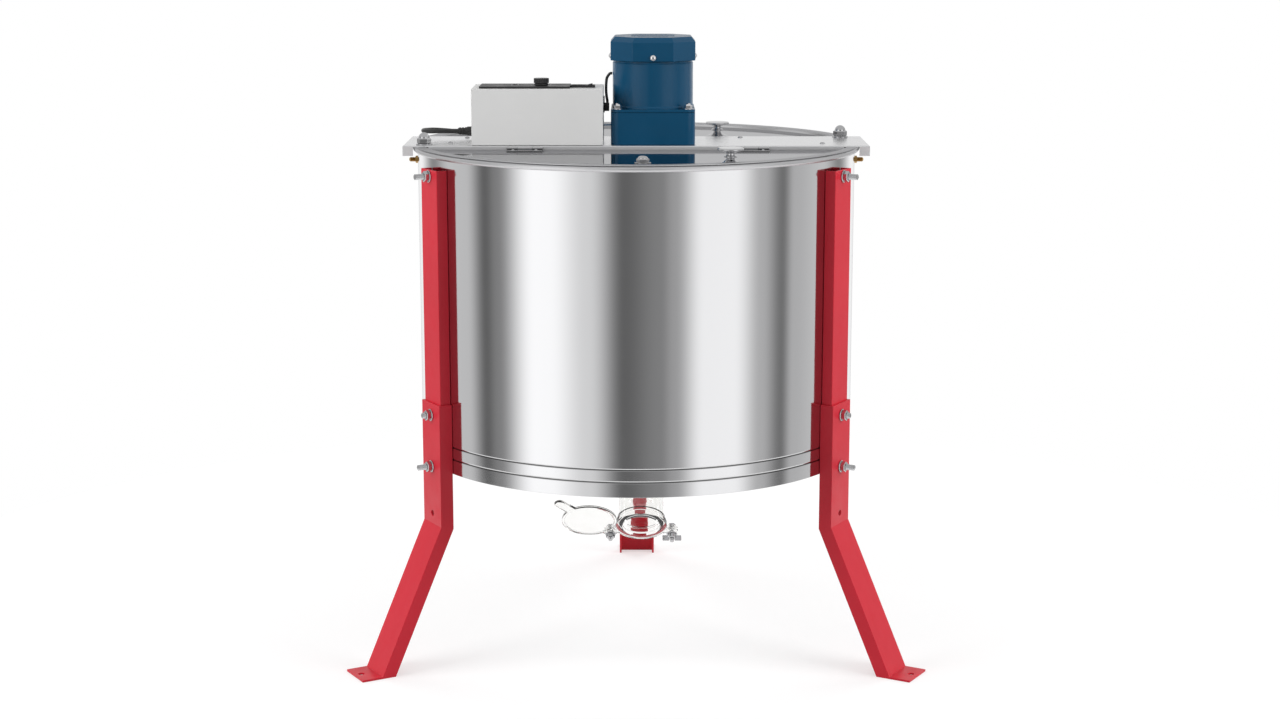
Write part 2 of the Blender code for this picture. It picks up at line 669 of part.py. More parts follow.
def gear(teeth, turn, low, high):
    """A spur gear whose first tooth points along the turn."""
    pitch_r = GEAR_MODULE * teeth / 2
    step = math.tau / teeth
    points = []
    for i in range(teeth):
        for share, radius in ((-0.27, -1.1), (-0.10, 0.8), (0.10, 0.8), (0.27, -1.1)):
            angle = turn + step * (i + share)
            r = pitch_r + radius * GEAR_MODULE
            points.append((r * math.cos(angle), r * math.sin(angle)))
    return prism(points, low, high)


def make_drive(root):
    x = GEAR_CENTRES
    half = GEARBOX_SIDE / 2
    box_top = BOX_BASE + GEARBOX_HEIGHT
    middle = (x, 0)
    at_motor = Matrix.Translation((x, 0, 0))
    case = add("gearbox", prism(rounded(half, half, GEARBOX_CORNER, middle), BOX_BASE, box_top), BLUE, root,
               (x, 0, BOX_BASE))
    inner = half - GEARBOX_WALL
    floor = BOX_BASE + GEARBOX_FLOOR
    inner_corner = GEARBOX_CORNER - GEARBOX_WALL / 2
    cut(case, prism(rounded(inner, inner, inner_corner, middle), floor, box_top + 0.01))
    cut(case, rods(((0, 0, BOX_BASE - 0.01), (0, 0, floor + 0.005), OUTPUT_SHAFT_R + GAP), steps=20))

    flange = box_top + GAP
    flange_top = flange + FLANGE_THICK
    plate = prism(rounded(half, half, GEARBOX_CORNER, middle), flange, flange_top)
    body = add("motor_body", plate, BLUE, root, (x, 0, flange))
    inside = flange_top + MOTOR_FLOOR
    can = [(0, flange + 0.001), (MOTOR_R, flange + 0.001), (MOTOR_R, MOTOR_TOP), (0, MOTOR_TOP)]
    join(body, moved(turned(can, ROUND), at_motor))
    room = [(0, inside), (MOTOR_BORE_R, inside), (MOTOR_BORE_R, MOTOR_TOP + 0.01), (0, MOTOR_TOP + 0.01)]
    cut(body, moved(turned(room, ROUND), at_motor))
    cut(body, rods(((x, 0, flange - 0.01), (x, 0, inside + 0.005), ROTOR_SHAFT_R + GAP), steps=20))

    cover_base = MOTOR_TOP + GAP
    side = COVER_SIDE / 2
    flat = side - COVER_CHAMFER
    octagon = [(side, flat), (flat, side), (-flat, side), (-side, flat), (-side, -flat), (-flat, -side),
               (flat, -side), (side, -flat)]
    cover = bmesh.new()
    ring = [cover.verts.new((px, py, cover_base)) for px, py in octagon]
    edges = [cover.edges.new(pair) for pair in zip(ring, ring[1:] + ring[:1])]
    inset = COVER_SHEET / side
    levels = [(1.0, COVER_TOP - 0.007), (0.90, COVER_TOP), (0.90 - inset, COVER_TOP - COVER_SHEET),
              (1.0 - inset, COVER_TOP - 0.0078), (1.0 - inset, cover_base)]
    old = (1.0, cover_base)
    for count, level in enumerate(levels):
        if count == 2:
            cover.faces.new(ring)
            ring = [cover.verts.new((px * level[0], py * level[0], level[1])) for px, py in octagon]
            edges = [cover.edges.new(pair) for pair in zip(ring, ring[1:] + ring[:1])]
            cover.faces.new(ring)
            old = level
            continue
        grown = bmesh.ops.extrude_edge_only(cover, edges=edges)["geom"]
        verts = [item for item in grown if isinstance(item, bmesh.types.BMVert)]
        sides = [item for item in grown if isinstance(item, bmesh.types.BMEdge)]
        edges = [item for item in sides if set(item.verts) <= set(verts)]
        share = level[0] / old[0]
        bmesh.ops.scale(cover, vec=(share, share, 1), verts=verts)
        bmesh.ops.translate(cover, vec=(0, 0, level[1] - old[1]), verts=verts)
        if count == 1:
            ring = sorted(verts, key=lambda v: math.atan2(v.co.y, v.co.x))
        old = level
    rims = [side for side in cover.edges if side.is_boundary]
    bmesh.ops.bridge_loops(cover, edges=rims)
    bmesh.ops.recalc_face_normals(cover, faces=cover.faces)
    lid = add("fan_cover", moved(cover, at_motor), BLUE, root, (x, 0, cover_base))
    vents = []
    for i in range(-3, 4):
        reach = 0.030 if abs(i) < 3 else 0.020
        vents.append(((x - reach, x + reach), (0.011 * i - 0.002, 0.011 * i + 0.002),
                      (COVER_TOP - 0.004, COVER_TOP + 0.004)))
    cut(lid, blocks(*vents))

    ring_base = inside + GAP
    outer = MOTOR_BORE_R - GAP
    ring_top = ring_base + STATOR_HEIGHT
    coil = [(STATOR_BORE_R, ring_base), (outer, ring_base), (outer, ring_top), (STATOR_BORE_R, ring_top)]
    add("stator", moved(turned(coil, 32), at_motor), COPPER, root, (x, 0, ring_base))
    pinion_low = floor + 0.0024
    pinion_top = pinion_low + 0.014
    parts = stack((ROTOR_SHAFT_R - 0.0016, pinion_top - 0.004, pinion_top + 0.002),
                  (ROTOR_SHAFT_R, pinion_top + 0.002, ring_base + 0.003),
                  (ROTOR_R, ring_base + 0.003, ring_top - 0.003),
                  (ROTOR_SHAFT_R, ring_top - 0.003, MOTOR_TOP + 0.0125))
    rotor = add("rotor", moved(turned(parts, 24), at_motor), DARK_STEEL, root, (x, 0, 0))
    join(rotor, moved(gear(PINION_TEETH, math.pi, pinion_low, pinion_top), at_motor))
    bore = ROTOR_SHAFT_R + GAP
    disc = MOTOR_TOP + 0.0015
    hub = [(bore, disc), (FAN_R, disc), (FAN_R, disc + 0.002), (FAN_HUB_R, disc + 0.002),
           (FAN_HUB_R, disc + 0.010), (bore, disc + 0.010)]
    fan = add("fan", moved(turned(hub, 24), at_motor), BLACK, root, (x, 0, 0))
    blades = bmesh.new()
    blade = Matrix.Diagonal((FAN_BLADE_LENGTH, 0.002, 0.009, 1))
    out = Matrix.Translation((FAN_R - 0.001 - FAN_BLADE_LENGTH / 2, 0, disc + 0.0055))
    for i in range(6):
        place = at_motor @ Matrix.Rotation(math.tau * i / 6, 4, "Z") @ out
        bmesh.ops.create_cube(blades, size=1, matrix=place @ blade)
    join(fan, blades)

    gear_low = floor + 0.0034
    teeth = gear(GEAR_TEETH, math.pi / GEAR_TEETH, gear_low, gear_low + 0.010)
    wheel = add("output_gear", teeth, DARK_STEEL, root)
    cut(wheel, rods(((0, 0, gear_low - 0.01), (0, 0, gear_low + 0.02), OUTPUT_SHAFT_R + GAP), steps=20))
    r = OUTPUT_SHAFT_R
    low = -BASKET_SHAFT_TOP_DROP - 0.034
    shaft = stack((r, low, floor + GAP), (r + 0.003, floor + GAP, gear_low - GAP),
                  (r, gear_low - GAP, gear_low + 0.014))
    add("output_shaft", turned(shaft, 20), STEEL, root)
    high = BAR_UNDER - GAP
    bearing = [(r + GAP, -UPPER_BEARING_DROP), (UPPER_BEARING_R, -UPPER_BEARING_DROP),
               (UPPER_BEARING_R, high),
               (r + GAP, high)]
    add("upper_bearing", turned(bearing, 20), DARK_STEEL, root)


def make_basket(root):
    spin = empty("basket_axis", root, (0, 0, 0))
    shoulder = BEARING_TOP + GAP
    tip = BEARING_TOP - BEARING_BORE + GAP
    top = -BASKET_SHAFT_TOP_DROP
    bore = OUTPUT_SHAFT_R + GAP
    sink = top - 0.0345
    profile = [(0, tip), (OUTPUT_SHAFT_R, tip), (OUTPUT_SHAFT_R, shoulder), (BASKET_SHAFT_R, shoulder),
               (BASKET_SHAFT_R, top), (bore, top), (bore, sink), (0, sink)]
    add("basket_shaft", turned(profile, 20), STEEL, spin)
    half = BASKET_BAR / 2
    for name, drop in (("top", BASKET_TOP_DROP), ("bottom", BASKET_BOTTOM_DROP)):
        z = -drop

        def hoop(inner, outer, thick):
            return [(inner, z - thick), (outer, z - thick), (outer, z + thick), (inner, z + thick)]

        outer = turned(hoop(BASKET_R - BASKET_BAR, BASKET_R, half), ROUND)
        ring = add("basket_" + name + "_ring", outer, STEEL, spin)
        parts = [turned(hoop(BASKET_SHAFT_R + GAP, BASKET_HUB_R, BASKET_HUB_HALF), 20),
                 turned(hoop(BASKET_INNER_R - half, BASKET_INNER_R + half, BASKET_INNER_HALF), 24)]
        start = BASKET_SHAFT_R + 0.006
        reach = BASKET_R - half - start
        spoke = Matrix.Diagonal((reach, SPOKE_WIDTH, SPOKE_THICK, 1))
        for i in range(SPOKES):
            angle = math.tau * (i + 0.5) / SPOKES
            place = Matrix.Rotation(angle, 4, "Z") @ Matrix.Translation((start + reach / 2, 0, z))
            bar = bmesh.new()
            bmesh.ops.create_cube(bar, size=1, matrix=place @ spoke)
            parts.append(bar)
        join(ring, merged(*parts))
    low = -BASKET_BOTTOM_DROP + half + GAP
    high = -BASKET_TOP_DROP - half - GAP
    away = BASKET_R - half - 0.0022
    for i in range(4):
        angle = math.tau * (2 * i + 0.5) / SPOKES
        x, y = away * math.cos(angle), away * math.sin(angle)
        rod = rods(((x, y, low), (x, y, high), BASKET_ROD_R), steps=10)
        add("basket_rod_" + str(i + 1), rod, STEEL, spin)


def make_controls(root):
    box = add("control_box", blocks((BOX_X, BOX_Y, (BOX_BASE, BOX_TOP))), GREY, root,
              (sum(BOX_X) / 2, sum(BOX_Y) / 2, BOX_BASE))
    t = BOX_SHEET
    room = ((BOX_X[0] + t, BOX_X[1] - t), (BOX_Y[0] + t, BOX_Y[1] - t), (BOX_BASE - 0.01, BOX_TOP - t))
    cut(box, blocks(room))
    panel_base = BOX_TOP + GAP
    panel_top = panel_base + PANEL_THICK
    stem_hole = DIAL_STEM_R + GAP
    button_hole = BUTTON_R + GAP
    low, high = BOX_TOP - 0.02, panel_top + 0.02
    rocker_slot = ((ROCKER_X - ROCKER_LENGTH / 2 - 2 * GAP, ROCKER_X + ROCKER_LENGTH / 2 + 2 * GAP),
                   (DIAL_Y - ROCKER_WIDTH / 2 - GAP, DIAL_Y + ROCKER_WIDTH / 2 + GAP), (low, high))
    cut(box, merged(blocks(rocker_slot),
                    rods(((DIAL_X, DIAL_Y, low), (DIAL_X, DIAL_Y, high), stem_hole),
                         ((BUTTON_X, DIAL_Y, low), (BUTTON_X, DIAL_Y, high), button_hole))))
    panel = add("control_panel", blocks((PANEL_X, PANEL_Y, (panel_base, panel_top))), BLACK, root,
                (sum(PANEL_X) / 2, sum(PANEL_Y) / 2, panel_base))
    cut(panel, rods(((DIAL_X, DIAL_Y, low), (DIAL_X, DIAL_Y, high), stem_hole),
                    ((BUTTON_X, DIAL_Y, low), (BUTTON_X, DIAL_Y, high), button_hole)))
    base = panel_top + GAP
    profile = [(0, BOX_TOP - 0.010), (DIAL_STEM_R, BOX_TOP - 0.010), (DIAL_STEM_R, base), (DIAL_R, base),
               (DIAL_R, base + 0.002), (DIAL_R - 0.001, base + 0.0025),
               (DIAL_R - 0.002, base + DIAL_HEIGHT - 0.001), (DIAL_R - 0.003, base + DIAL_HEIGHT),
               (0, base + DIAL_HEIGHT)]
    add("speed_knob", moved(turned(profile, 20), Matrix.Translation((DIAL_X, DIAL_Y, 0))), BLACK, root,
        (DIAL_X, DIAL_Y, base))
    profile = stack((BUTTON_R, panel_base + GAP, panel_top + BUTTON_RISE))
    add("mode_button", moved(turned(profile, 16), Matrix.Translation((BUTTON_X, DIAL_Y, 0))), BLACK, root,
        (BUTTON_X, DIAL_Y, panel_top))
    half = ROCKER_LENGTH / 2 - 2 * GAP
    pivot = BOX_TOP - 0.002
    paddle = [(-half, -0.006), (half, -0.006), (half, 0.0055), (0, 0.0036), (-half, 0.0055)]
    add("power_switch", side_prism(paddle, ROCKER_WIDTH / 2), BLACK, root, (ROCKER_X, DIAL_Y, pivot),
        (0, math.radians(-ROCKER_TILT), 0), local=True)

    side = BOX_X[1] + GAP
    plate_x = (side, side + GROMMET_PLATE)
    hood_x = (side + GROMMET_PLATE / 2, side + 0.0078)
    hood_top = GROMMET_Z[0] + 0.0135
    grommet = add("box_grommet", blocks((plate_x, (-0.008, 0.008), GROMMET_Z)), BLACK, root,
                  (side, 0, sum(GROMMET_Z) / 2))
    join(grommet, blocks((hood_x, (-0.004, 0.004), (GROMMET_Z[0] + 0.002, hood_top))))
    start = GEAR_CENTRES - MOTOR_R - 2 * GAP
    end = side + 0.005
    bow = BOX_X[1] + LEAD_R + 0.0016
    lead = [(start, 0, LEAD_TOP), (start - 0.0028, 0, LEAD_TOP), (start - 0.0054, 0, LEAD_TOP - 0.0026),
            (start - 0.0078, 0, LEAD_TOP - 0.0068), (bow + 0.0003, 0, LEAD_TOP - 0.0130),
            (bow, 0, LEAD_TOP - 0.019), (bow + 0.0001, 0, LEAD_TOP - 0.026),
            (bow + 0.0008, 0, LEAD_TOP - 0.033),
            (end, 0, hood_top + 0.003), (end, 0, hood_top + GAP)]
    tube("motor_lead", smooth_route(lead, 0.003), LEAD_R, BLACK, root, 2)

    r = GLAND_R
    x = GAP
    sleeve = [(0, x), (r, x), (r, x + 0.003), (r - 0.0012, x + 0.0035), (r - 0.0012, x + 0.0085),
              (r - 0.0020, x + 0.009)]
    for i in range(3):
        rib = r - 0.0021 - 0.0002 * i
        low = x + 0.004 * i
        sleeve += [(rib, low + 0.0095), (rib, low + 0.0120)]
        sleeve += [(r - 0.0032, low + 0.0124), (r - 0.0032, low + 0.0132)]
    sleeve += [(r - 0.0030, GLAND_LENGTH), (0, GLAND_LENGTH)]
    lie = Matrix.Translation((BOX_X[0], GLAND_Y, GLAND_Z)) @ Matrix.Rotation(-math.pi / 2, 4, "Y")
    add("cord_gland", moved(turned(sleeve, 10), lie), BLACK, root, (BOX_X[0], GLAND_Y, GLAND_Z))


def make_gate(root):
    steps = 24
    tilt = math.radians(GATE_TILT)
    neck_top = LAND_TOP + SPOUT_NECK
    under = LAND_TOP - BOTTOM_SHEET - GAP
    collar = under - SPOUT_COLLAR
    bend_top = collar - SPOUT_DROP

    def upright(z, radius):
        return (Matrix.Translation((OUTLET_X, OUTLET_Y, z)) @ Matrix.Rotation(math.pi, 4, "X"), radius)

    def turning(angle, radius):
        y = OUTLET_Y - SPOUT_TURN_R * (1 - math.cos(angle))
        z = bend_top - SPOUT_TURN_R * math.sin(angle)
        return (Matrix.Translation((OUTLET_X, y, z)) @ Matrix.Rotation(math.pi - angle, 4, "X"), radius)

    end = turning(tilt, SPOUT_R)[0]
    face = end @ Matrix.Translation((0, 0, SPOUT_RUN))

    def along(back, radius):
        return (face @ Matrix.Translation((0, 0, -back)), radius)

    bends = [tilt * share for share in (0.0, 0.25, 0.5, 0.75, 1.0)]
    outside = [upright(neck_top, SPOUT_R), upright(under, SPOUT_R), upright(under, SPOUT_COLLAR_R),
               upright(collar, SPOUT_COLLAR_R), upright(collar, SPOUT_R)]
    outside += [turning(bend, SPOUT_R) for bend in bends]
    outside += [along(0.0170, SPOUT_R), along(0.0165, SPOUT_R + 0.002), along(0.0145, SPOUT_R + 0.002),
                along(0.0140, SPOUT_R), along(0.0085, SPOUT_R), along(0.0080, SPOUT_FLANGE_R),
                along(0, SPOUT_FLANGE_R)]
    inside = [along(0, SPOUT_BORE_R)] + [turning(bend, SPOUT_BORE_R) for bend in reversed(bends)]
    inside += [upright(neck_top, SPOUT_BORE_R)]
    spout = add("gate_spout", ring_loft(outside + inside, steps, True), CLEAR, root)
    gate = empty("gate_face", root, face.to_translation(), face.to_euler())
    ears = []
    holes = []
    for side in (-1, 1):
        x = side * EAR_X
        ears.append(blocks(((side * 0.0305, x), (EAR_Y - 0.008, EAR_Y + 0.008), (-EAR_THICK, -0.0002))))
        ears.append(rods(((x, EAR_Y, -EAR_THICK), (x, EAR_Y, -0.0002), 0.009), steps=20))
        holes.append(((x, EAR_Y, -0.02), (x, EAR_Y, 0.02), GATE_BOLT_R + GAP))
    join(spout, moved(merged(*ears), face))
    cut(spout, moved(rods(*holes), face))

    def upright_ring(inner, outer, low, high):
        profile = [(inner, low), (outer, low), (outer, high), (inner, high)]
        return moved(turned(profile, steps), Matrix.Translation((OUTLET_X, OUTLET_Y, 0)))

    nut = upright_ring(SPOUT_R + GAP, SPOUT_NUT_R, LAND_TOP + GAP, LAND_TOP + SPOUT_NECK - 0.001)
    add("gate_nut", nut, BLACK, root, (OUTLET_X, OUTLET_Y, LAND_TOP))

    reach = math.hypot(EAR_X, EAR_Y)
    low, high = GAP, GAP + FLAP_THICK
    disc = rods(((reach, 0, low), (reach, 0, high), FLAP_R), steps=32)
    closed_turn = math.atan2(-EAR_Y, EAR_X)
    turn = (0, 0, closed_turn + math.radians(FLAP_OPEN))
    flap = add("gate_flap", disc, CLEAR, gate, (-EAR_X, EAR_Y, 0), turn, local=True)
    grip_x = FLAP_REACH - 0.008
    lug = rods(((0, 0, low), (0, 0, high), 0.0092), ((grip_x, 0, low), (grip_x, 0, high), 0.008), steps=20)
    stem = blocks(((0, grip_x), (-0.0078, 0.0078), (low + 0.0001, high - 0.0001)))
    join(flap, merged(lug, stem), local=True)
    cut(flap, rods(((0, 0, -0.02), (0, 0, 0.02), GATE_BOLT_R + GAP)), local=True)
    r = GATE_BOLT_R
    front = high + GAP
    head = (2 * r, -EAR_THICK - GAP - 0.004, -EAR_THICK - GAP)
    shank = (r, -EAR_THICK - GAP, front)
    washer = (2.6 * r, front, front + 0.0014)
    nut = (2.1 * r, front + 0.0014, front + 0.007)
    pivot = stack(head, shank, washer, nut, (r, front + 0.007, front + 0.011))
    add("gate_pivot_bolt", turned(pivot, 16), STEEL, gate, (-EAR_X, EAR_Y, 0), local=True)
    boss = (2.0 * r, front + 0.0014, front + 0.008)
    lock = stack(head, shank, washer, boss, (r, front + 0.008, front + 0.013))
    lock = add("gate_lock_bolt", turned(lock, 16), STEEL, gate, (EAR_X, EAR_Y, 0), local=True)
    join(lock, blocks(((-0.0135, 0.0135), (-0.0012, 0.0012), (front + 0.0030, front + 0.0115))), local=True)


def hank_points():
    """The hank's centre line, on edge behind the box: it spirals in, climbs a layer and spirals out."""
    first_y = BOX_Y[1] + 0.0015 + CORD_D / 2
    layer = HANK_STEP
    base = BAR_TOP + GAP + CORD_D / 2
    outer = HANK_INNER_R + HANK_STEP * HANK_LOOPS
    height = base + outer
    shares = (0.30, 0.20, 0.30, 0.20)
    count = (7, 5, 7, 5)
    a = HANK_HALF_RUN

    def place(part, f, r):
        if part in (0, 2):
            sign = 1 if part == 0 else -1
            x = sign * a * (2 * f - 1)
            pull = HANK_WAIST * 0.5 * (1 + math.cos(math.pi * min(1.0, abs(x) / (0.85 * a))))
            return HANK_X + x, height - sign * (r - pull)
        sign = 1 if part == 1 else -1
        angle = math.pi * (f - 0.5)
        return HANK_X + sign * (a + r * math.cos(angle)), height + sign * r * math.sin(angle)

    lead_in = place(0, 0, outer)
    points = [(lead_in[0] - CORD_D, first_y, lead_in[1])]
    turns = 0.0
    for loop in range(HANK_LOOPS):
        for part in range(4):
            for step in range(count[part]):
                f = step / count[part]
                x, z = place(part, f, outer - HANK_STEP * (turns + shares[part] * f))
                points.append((x, first_y, z))
            turns += shares[part]
    for step in range(count[0]):
        f = step / count[0]
        x, z = place(0, f, HANK_INNER_R - 0.15 * HANK_STEP * math.sin(math.pi * f))
        points.append((x, first_y + layer * (0.5 - 0.5 * math.cos(math.pi * f)), z))
    turns = 0.0
    for part in (1, 2, 3, 0, 1, 2, 3):
        for step in range(count[part]):
            f = step / count[part]
            x, z = place(part, f, HANK_INNER_R + HANK_STEP * (turns + shares[part] * f))
            points.append((x, first_y + layer, z))
        turns += shares[part]
    left, last_z = place(0, 0, HANK_INNER_R + HANK_STEP * turns)
    plug_y = first_y + layer + CORD_D / 2 + 0.001 + PLUG_SIDE / 2
    plug_z = BAR_TOP + GAP + PLUG_SIDE / 2
    points.append((left, first_y + layer, last_z))
    for share in (0.2, 0.4, 0.6, 0.8):
        ease = 0.5 - 0.5 * math.cos(math.pi * share)
        y = first_y + layer + ease * (plug_y - first_y - layer)
        points.append((left + share * (PLUG_X - 0.009 - left), y, last_z + ease * (plug_z - last_z)))
    points += [(PLUG_X - 0.009, plug_y, plug_z), (PLUG_X - GAP, plug_y, plug_z)]
    return points, (plug_y, plug_z)


def least_gap(points):
    """The least clear space between stretches of the tube that aren't neighbours."""
    p = np.array(points)
    fine = np.concatenate([p[:-1] + (p[1:] - p[:-1]) * t for t in (0, 0.25, 0.5, 0.75)])
    order = np.concatenate([np.arange(len(p) - 1) + t for t in (0, 0.25, 0.5, 0.75)])
    fine = fine[np.argsort(order)]
    step = np.linalg.norm(np.diff(fine, axis=0), axis=1)
    along = np.concatenate([[0], np.cumsum(step)])
    far = np.abs(along[:, None] - along[None]) > 4 * CORD_D
    apart = np.linalg.norm(fine[:, None] - fine[None], axis=2)
    return apart[far].min() - CORD_D, along[-1]


def make_cord(root):
    points, (plug_y, plug_z) = hank_points()
    start = points[0]
    exit_x = BOX_X[0] - GLAND_LENGTH - GAP
    bend_x = -0.2755
    r = CORD_TURN_R
    y0 = GLAND_Y
    z0 = GLAND_Z
    route = [(exit_x, y0, z0), (exit_x - CORD_D, y0, z0), (bend_x - 0.004, y0 + 0.0004, z0 - 0.0001)]
    for turn in (30, 60, 90, 120, 150):
        angle = math.radians(turn)
        y = y0 + r * (1 - math.cos(angle))
        route.append((bend_x - r * math.sin(angle), y, z0 - 0.0035 * turn / 180))
    end_y = start[1]
    route += [(bend_x + 0.004, y0 + 2 * r + 0.0001, z0 - 0.0044),
              (bend_x + 0.024, end_y - 0.0003, z0 - 0.0064), (bend_x + 0.042, end_y, z0 - 0.0094),
              (start[0] - 2.2 * CORD_D, end_y, start[2] + 0.0010), (start[0] - CORD_D, end_y, start[2]),
              (start[0] - GAP, end_y, start[2])]
    free = smooth_route(route, 2.4 * CORD_D)
    tube("power_cord", free, CORD_D / 2, BLACK, root, 2)
    tube("cord_hank", points, CORD_D / 2, BLACK, root, 1)
    gap, length = least_gap(points)
    free_length = np.linalg.norm(np.diff(free, axis=0), axis=1).sum()
    print("hank: least gap", round(1000 * gap, 2), "mm; cord length", round(free_length + length, 3), "m")

    half = PLUG_SIDE / 2
    plug_x = (PLUG_X, PLUG_X + PLUG_LENGTH)
    body = blocks((plug_x, (plug_y - half, plug_y + half), (plug_z - half, plug_z + half)))
    bmesh.ops.bevel(body, geom=list(body.edges), offset=0.003, segments=2, profile=0.5, affect="EDGES",
                    clamp_overlap=True)
    plug = add("plug", body, BLACK, root, (PLUG_X, plug_y, plug_z))
    tip = plug_x[1]
    pins = []
    for side in (-1, 1):
        y = plug_y + side * 0.0063
        pins.append(((tip - 0.002, y, plug_z), (tip + 0.017, y, plug_z), 0.0022))
    join(plug, rods(*pins, steps=10))

    middle = BAR_TOP + GAP + CORD_D / 2 + HANK_INNER_R + HANK_STEP * HANK_LOOPS
    reach = HANK_INNER_R + HANK_STEP * HANK_LOOPS - HANK_WAIST + CORD_D / 2 + GAP
    first_y = BOX_Y[1] + 0.0015 + CORD_D / 2
    tie_y = first_y + HANK_STEP / 2
    tie_half = HANK_STEP / 2 + CORD_D / 2 + 2 * GAP
    thick = 0.0008
    strap = prism(rounded(tie_half + thick, reach + thick, 0.0035, steps=3), -0.004, 0.004)
    lie = Matrix(((0, 0, 1, HANK_X), (1, 0, 0, tie_y), (0, 1, 0, middle), (0, 0, 0, 1)))
    tie = add("cord_tie", moved(strap, lie), BLACK, root, (HANK_X, tie_y, middle))
    cut(tie, moved(prism(rounded(tie_half, reach, 0.0028, steps=3), -0.01, 0.01), lie))


def main():
    clear_scene()
    root = empty("drum_axis", None, (0, AXIS_Y, RIM_HEIGHT))
    make_drum(root)
    make_legs(root)
    make_bar(root)
    make_lid(root, "front", ("hinge_front_left", "hinge_front_right"), -1, HINGE_FRONT_X, KNOB_FRONT)
    make_lid(root, "rear", ("hinge_rear_left", "hinge_rear_right"), 1, HINGE_REAR_X, KNOB_REAR)
    make_drive(root)
    make_basket(root)
    make_controls(root)
    make_gate(root)
    make_cord(root)


main()
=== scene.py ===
import math

import bmesh
import bpy
import numpy as np
from mathutils import Matrix, Vector


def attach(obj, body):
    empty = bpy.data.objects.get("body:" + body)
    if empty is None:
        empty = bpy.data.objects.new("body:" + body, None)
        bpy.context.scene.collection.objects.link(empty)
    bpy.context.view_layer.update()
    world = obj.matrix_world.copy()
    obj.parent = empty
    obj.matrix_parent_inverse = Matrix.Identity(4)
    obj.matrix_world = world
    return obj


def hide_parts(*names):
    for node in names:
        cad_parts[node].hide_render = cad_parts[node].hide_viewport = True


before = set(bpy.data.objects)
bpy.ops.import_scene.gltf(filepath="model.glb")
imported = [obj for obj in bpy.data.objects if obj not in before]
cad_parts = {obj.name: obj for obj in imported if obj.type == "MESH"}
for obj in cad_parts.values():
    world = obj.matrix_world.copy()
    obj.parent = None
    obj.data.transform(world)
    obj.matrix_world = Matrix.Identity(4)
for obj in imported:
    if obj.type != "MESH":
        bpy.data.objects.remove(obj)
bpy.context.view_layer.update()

rimFrame = Matrix.Translation((0, -0.0671, 0.720))  # the middle of the drum's rim: places below count from it
rimHeight = rimFrame.translation.z
legTurns = {"left": 210, "right": 330, "rear": 90}
print("frame loaded")


# Helpers

def finishPiece(name, bm, finish, body, slot, *replaced, inRim=True, sharp=32):
    if inRim:
        bmesh.ops.transform(bm, matrix=rimFrame, verts=bm.verts)
    mesh = bpy.data.meshes.new(name)
    bm.to_mesh(mesh)
    bm.free()
    mesh.shade_smooth()
    mesh.set_sharp_from_angle(angle=math.radians(sharp))
    mesh.materials.append(finish)
    piece = bpy.data.objects.new(name, mesh)
    bpy.context.scene.collection.objects.link(piece)
    flats = piece.modifiers.new("flats", "WEIGHTED_NORMAL")  # large flat faces keep their own normal
    flats.keep_sharp = True
    flats.weight = 100
    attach(piece, body)
    if replaced:
        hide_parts(*replaced)
    return piece


def moved(bm, matrix):
    bmesh.ops.transform(bm, matrix=matrix, verts=bm.verts)
    return bm


def merged(*parts):
    whole = bmesh.new()
    for part in parts:
        mesh = bpy.data.meshes.new("part")
        part.to_mesh(mesh)
        part.free()
        whole.from_mesh(mesh)
        bpy.data.meshes.remove(mesh)
    return whole


def eased(points, radius, steps=4):
    # an open outline with its corners rounded
    points = [Vector(point) for point in points]
    curve = [points[0]]
    for before, corner, after in zip(points, points[1:], points[2:]):
        back, ahead = before - corner, after - corner
        angle = back.angle(ahead)
        if angle > 3.0:
            curve.append(corner)
            continue
        reach = min(radius / math.tan(angle / 2), 0.45 * back.length, 0.45 * ahead.length)
        start = corner + back.normalized() * reach
        end = corner + ahead.normalized() * reach
        for t in np.linspace(0, 1, steps + 1):
            curve.append(start * (1 - t) ** 2 + corner * (2 * t * (1 - t)) + end * t * t)
    return curve + [points[-1]]


def spun(profile, steps=48, closed=False):
    bm = bmesh.new()
    verts = [bm.verts.new((r, 0, z)) for r, z in profile]
    edges = [bm.edges.new(pair) for pair in zip(verts, verts[1:])]
    if closed:
        edges.append(bm.edges.new((verts[-1], verts[0])))
    bmesh.ops.spin(bm, geom=verts + edges, cent=(0, 0, 0), axis=(0, 0, 1), angle=math.tau, steps=steps,
                   use_merge=True)
    bmesh.ops.remove_doubles(bm, verts=bm.verts, dist=1e-6)
    bmesh.ops.recalc_face_normals(bm, faces=bm.faces)
    return bm


def loft(rings, steps):
    # a closed skin through rings, each a placement and a radius
    bm = bmesh.new()
    bmesh.ops.create_circle(bm, radius=rings[0][1], segments=steps, matrix=rings[0][0])
    edges = list(bm.edges)
    for (old, oldRadius), (new, newRadius) in zip(rings, rings[1:] + rings[:1]):
        grown = bmesh.ops.extrude_edge_only(bm, edges=edges)["geom"]
        verts = {item for item in grown if isinstance(item, bmesh.types.BMVert)}
        edges = [item for item in grown if isinstance(item, bmesh.types.BMEdge) and set(item.verts) <= verts]
        step = new @ Matrix.Scale(newRadius / oldRadius, 4) @ old.inverted()
        bmesh.ops.transform(bm, matrix=step, verts=list(verts))
    bmesh.ops.remove_doubles(bm, verts=bm.verts, dist=1e-6)
    bmesh.ops.recalc_face_normals(bm, faces=bm.faces)
    return bm


def bevelled(bm, width, segments=2, sharper=40):
    edges = [edge for edge in bm.edges
             if edge.is_manifold and edge.calc_face_angle(0) > math.radians(sharper)
             and edge.calc_length() > 2.2 * width]
    bmesh.ops.bevel(bm, geom=edges, offset=width, segments=segments, profile=0.5, affect="EDGES", material=-1,
                    clamp_overlap=True)
    return bm


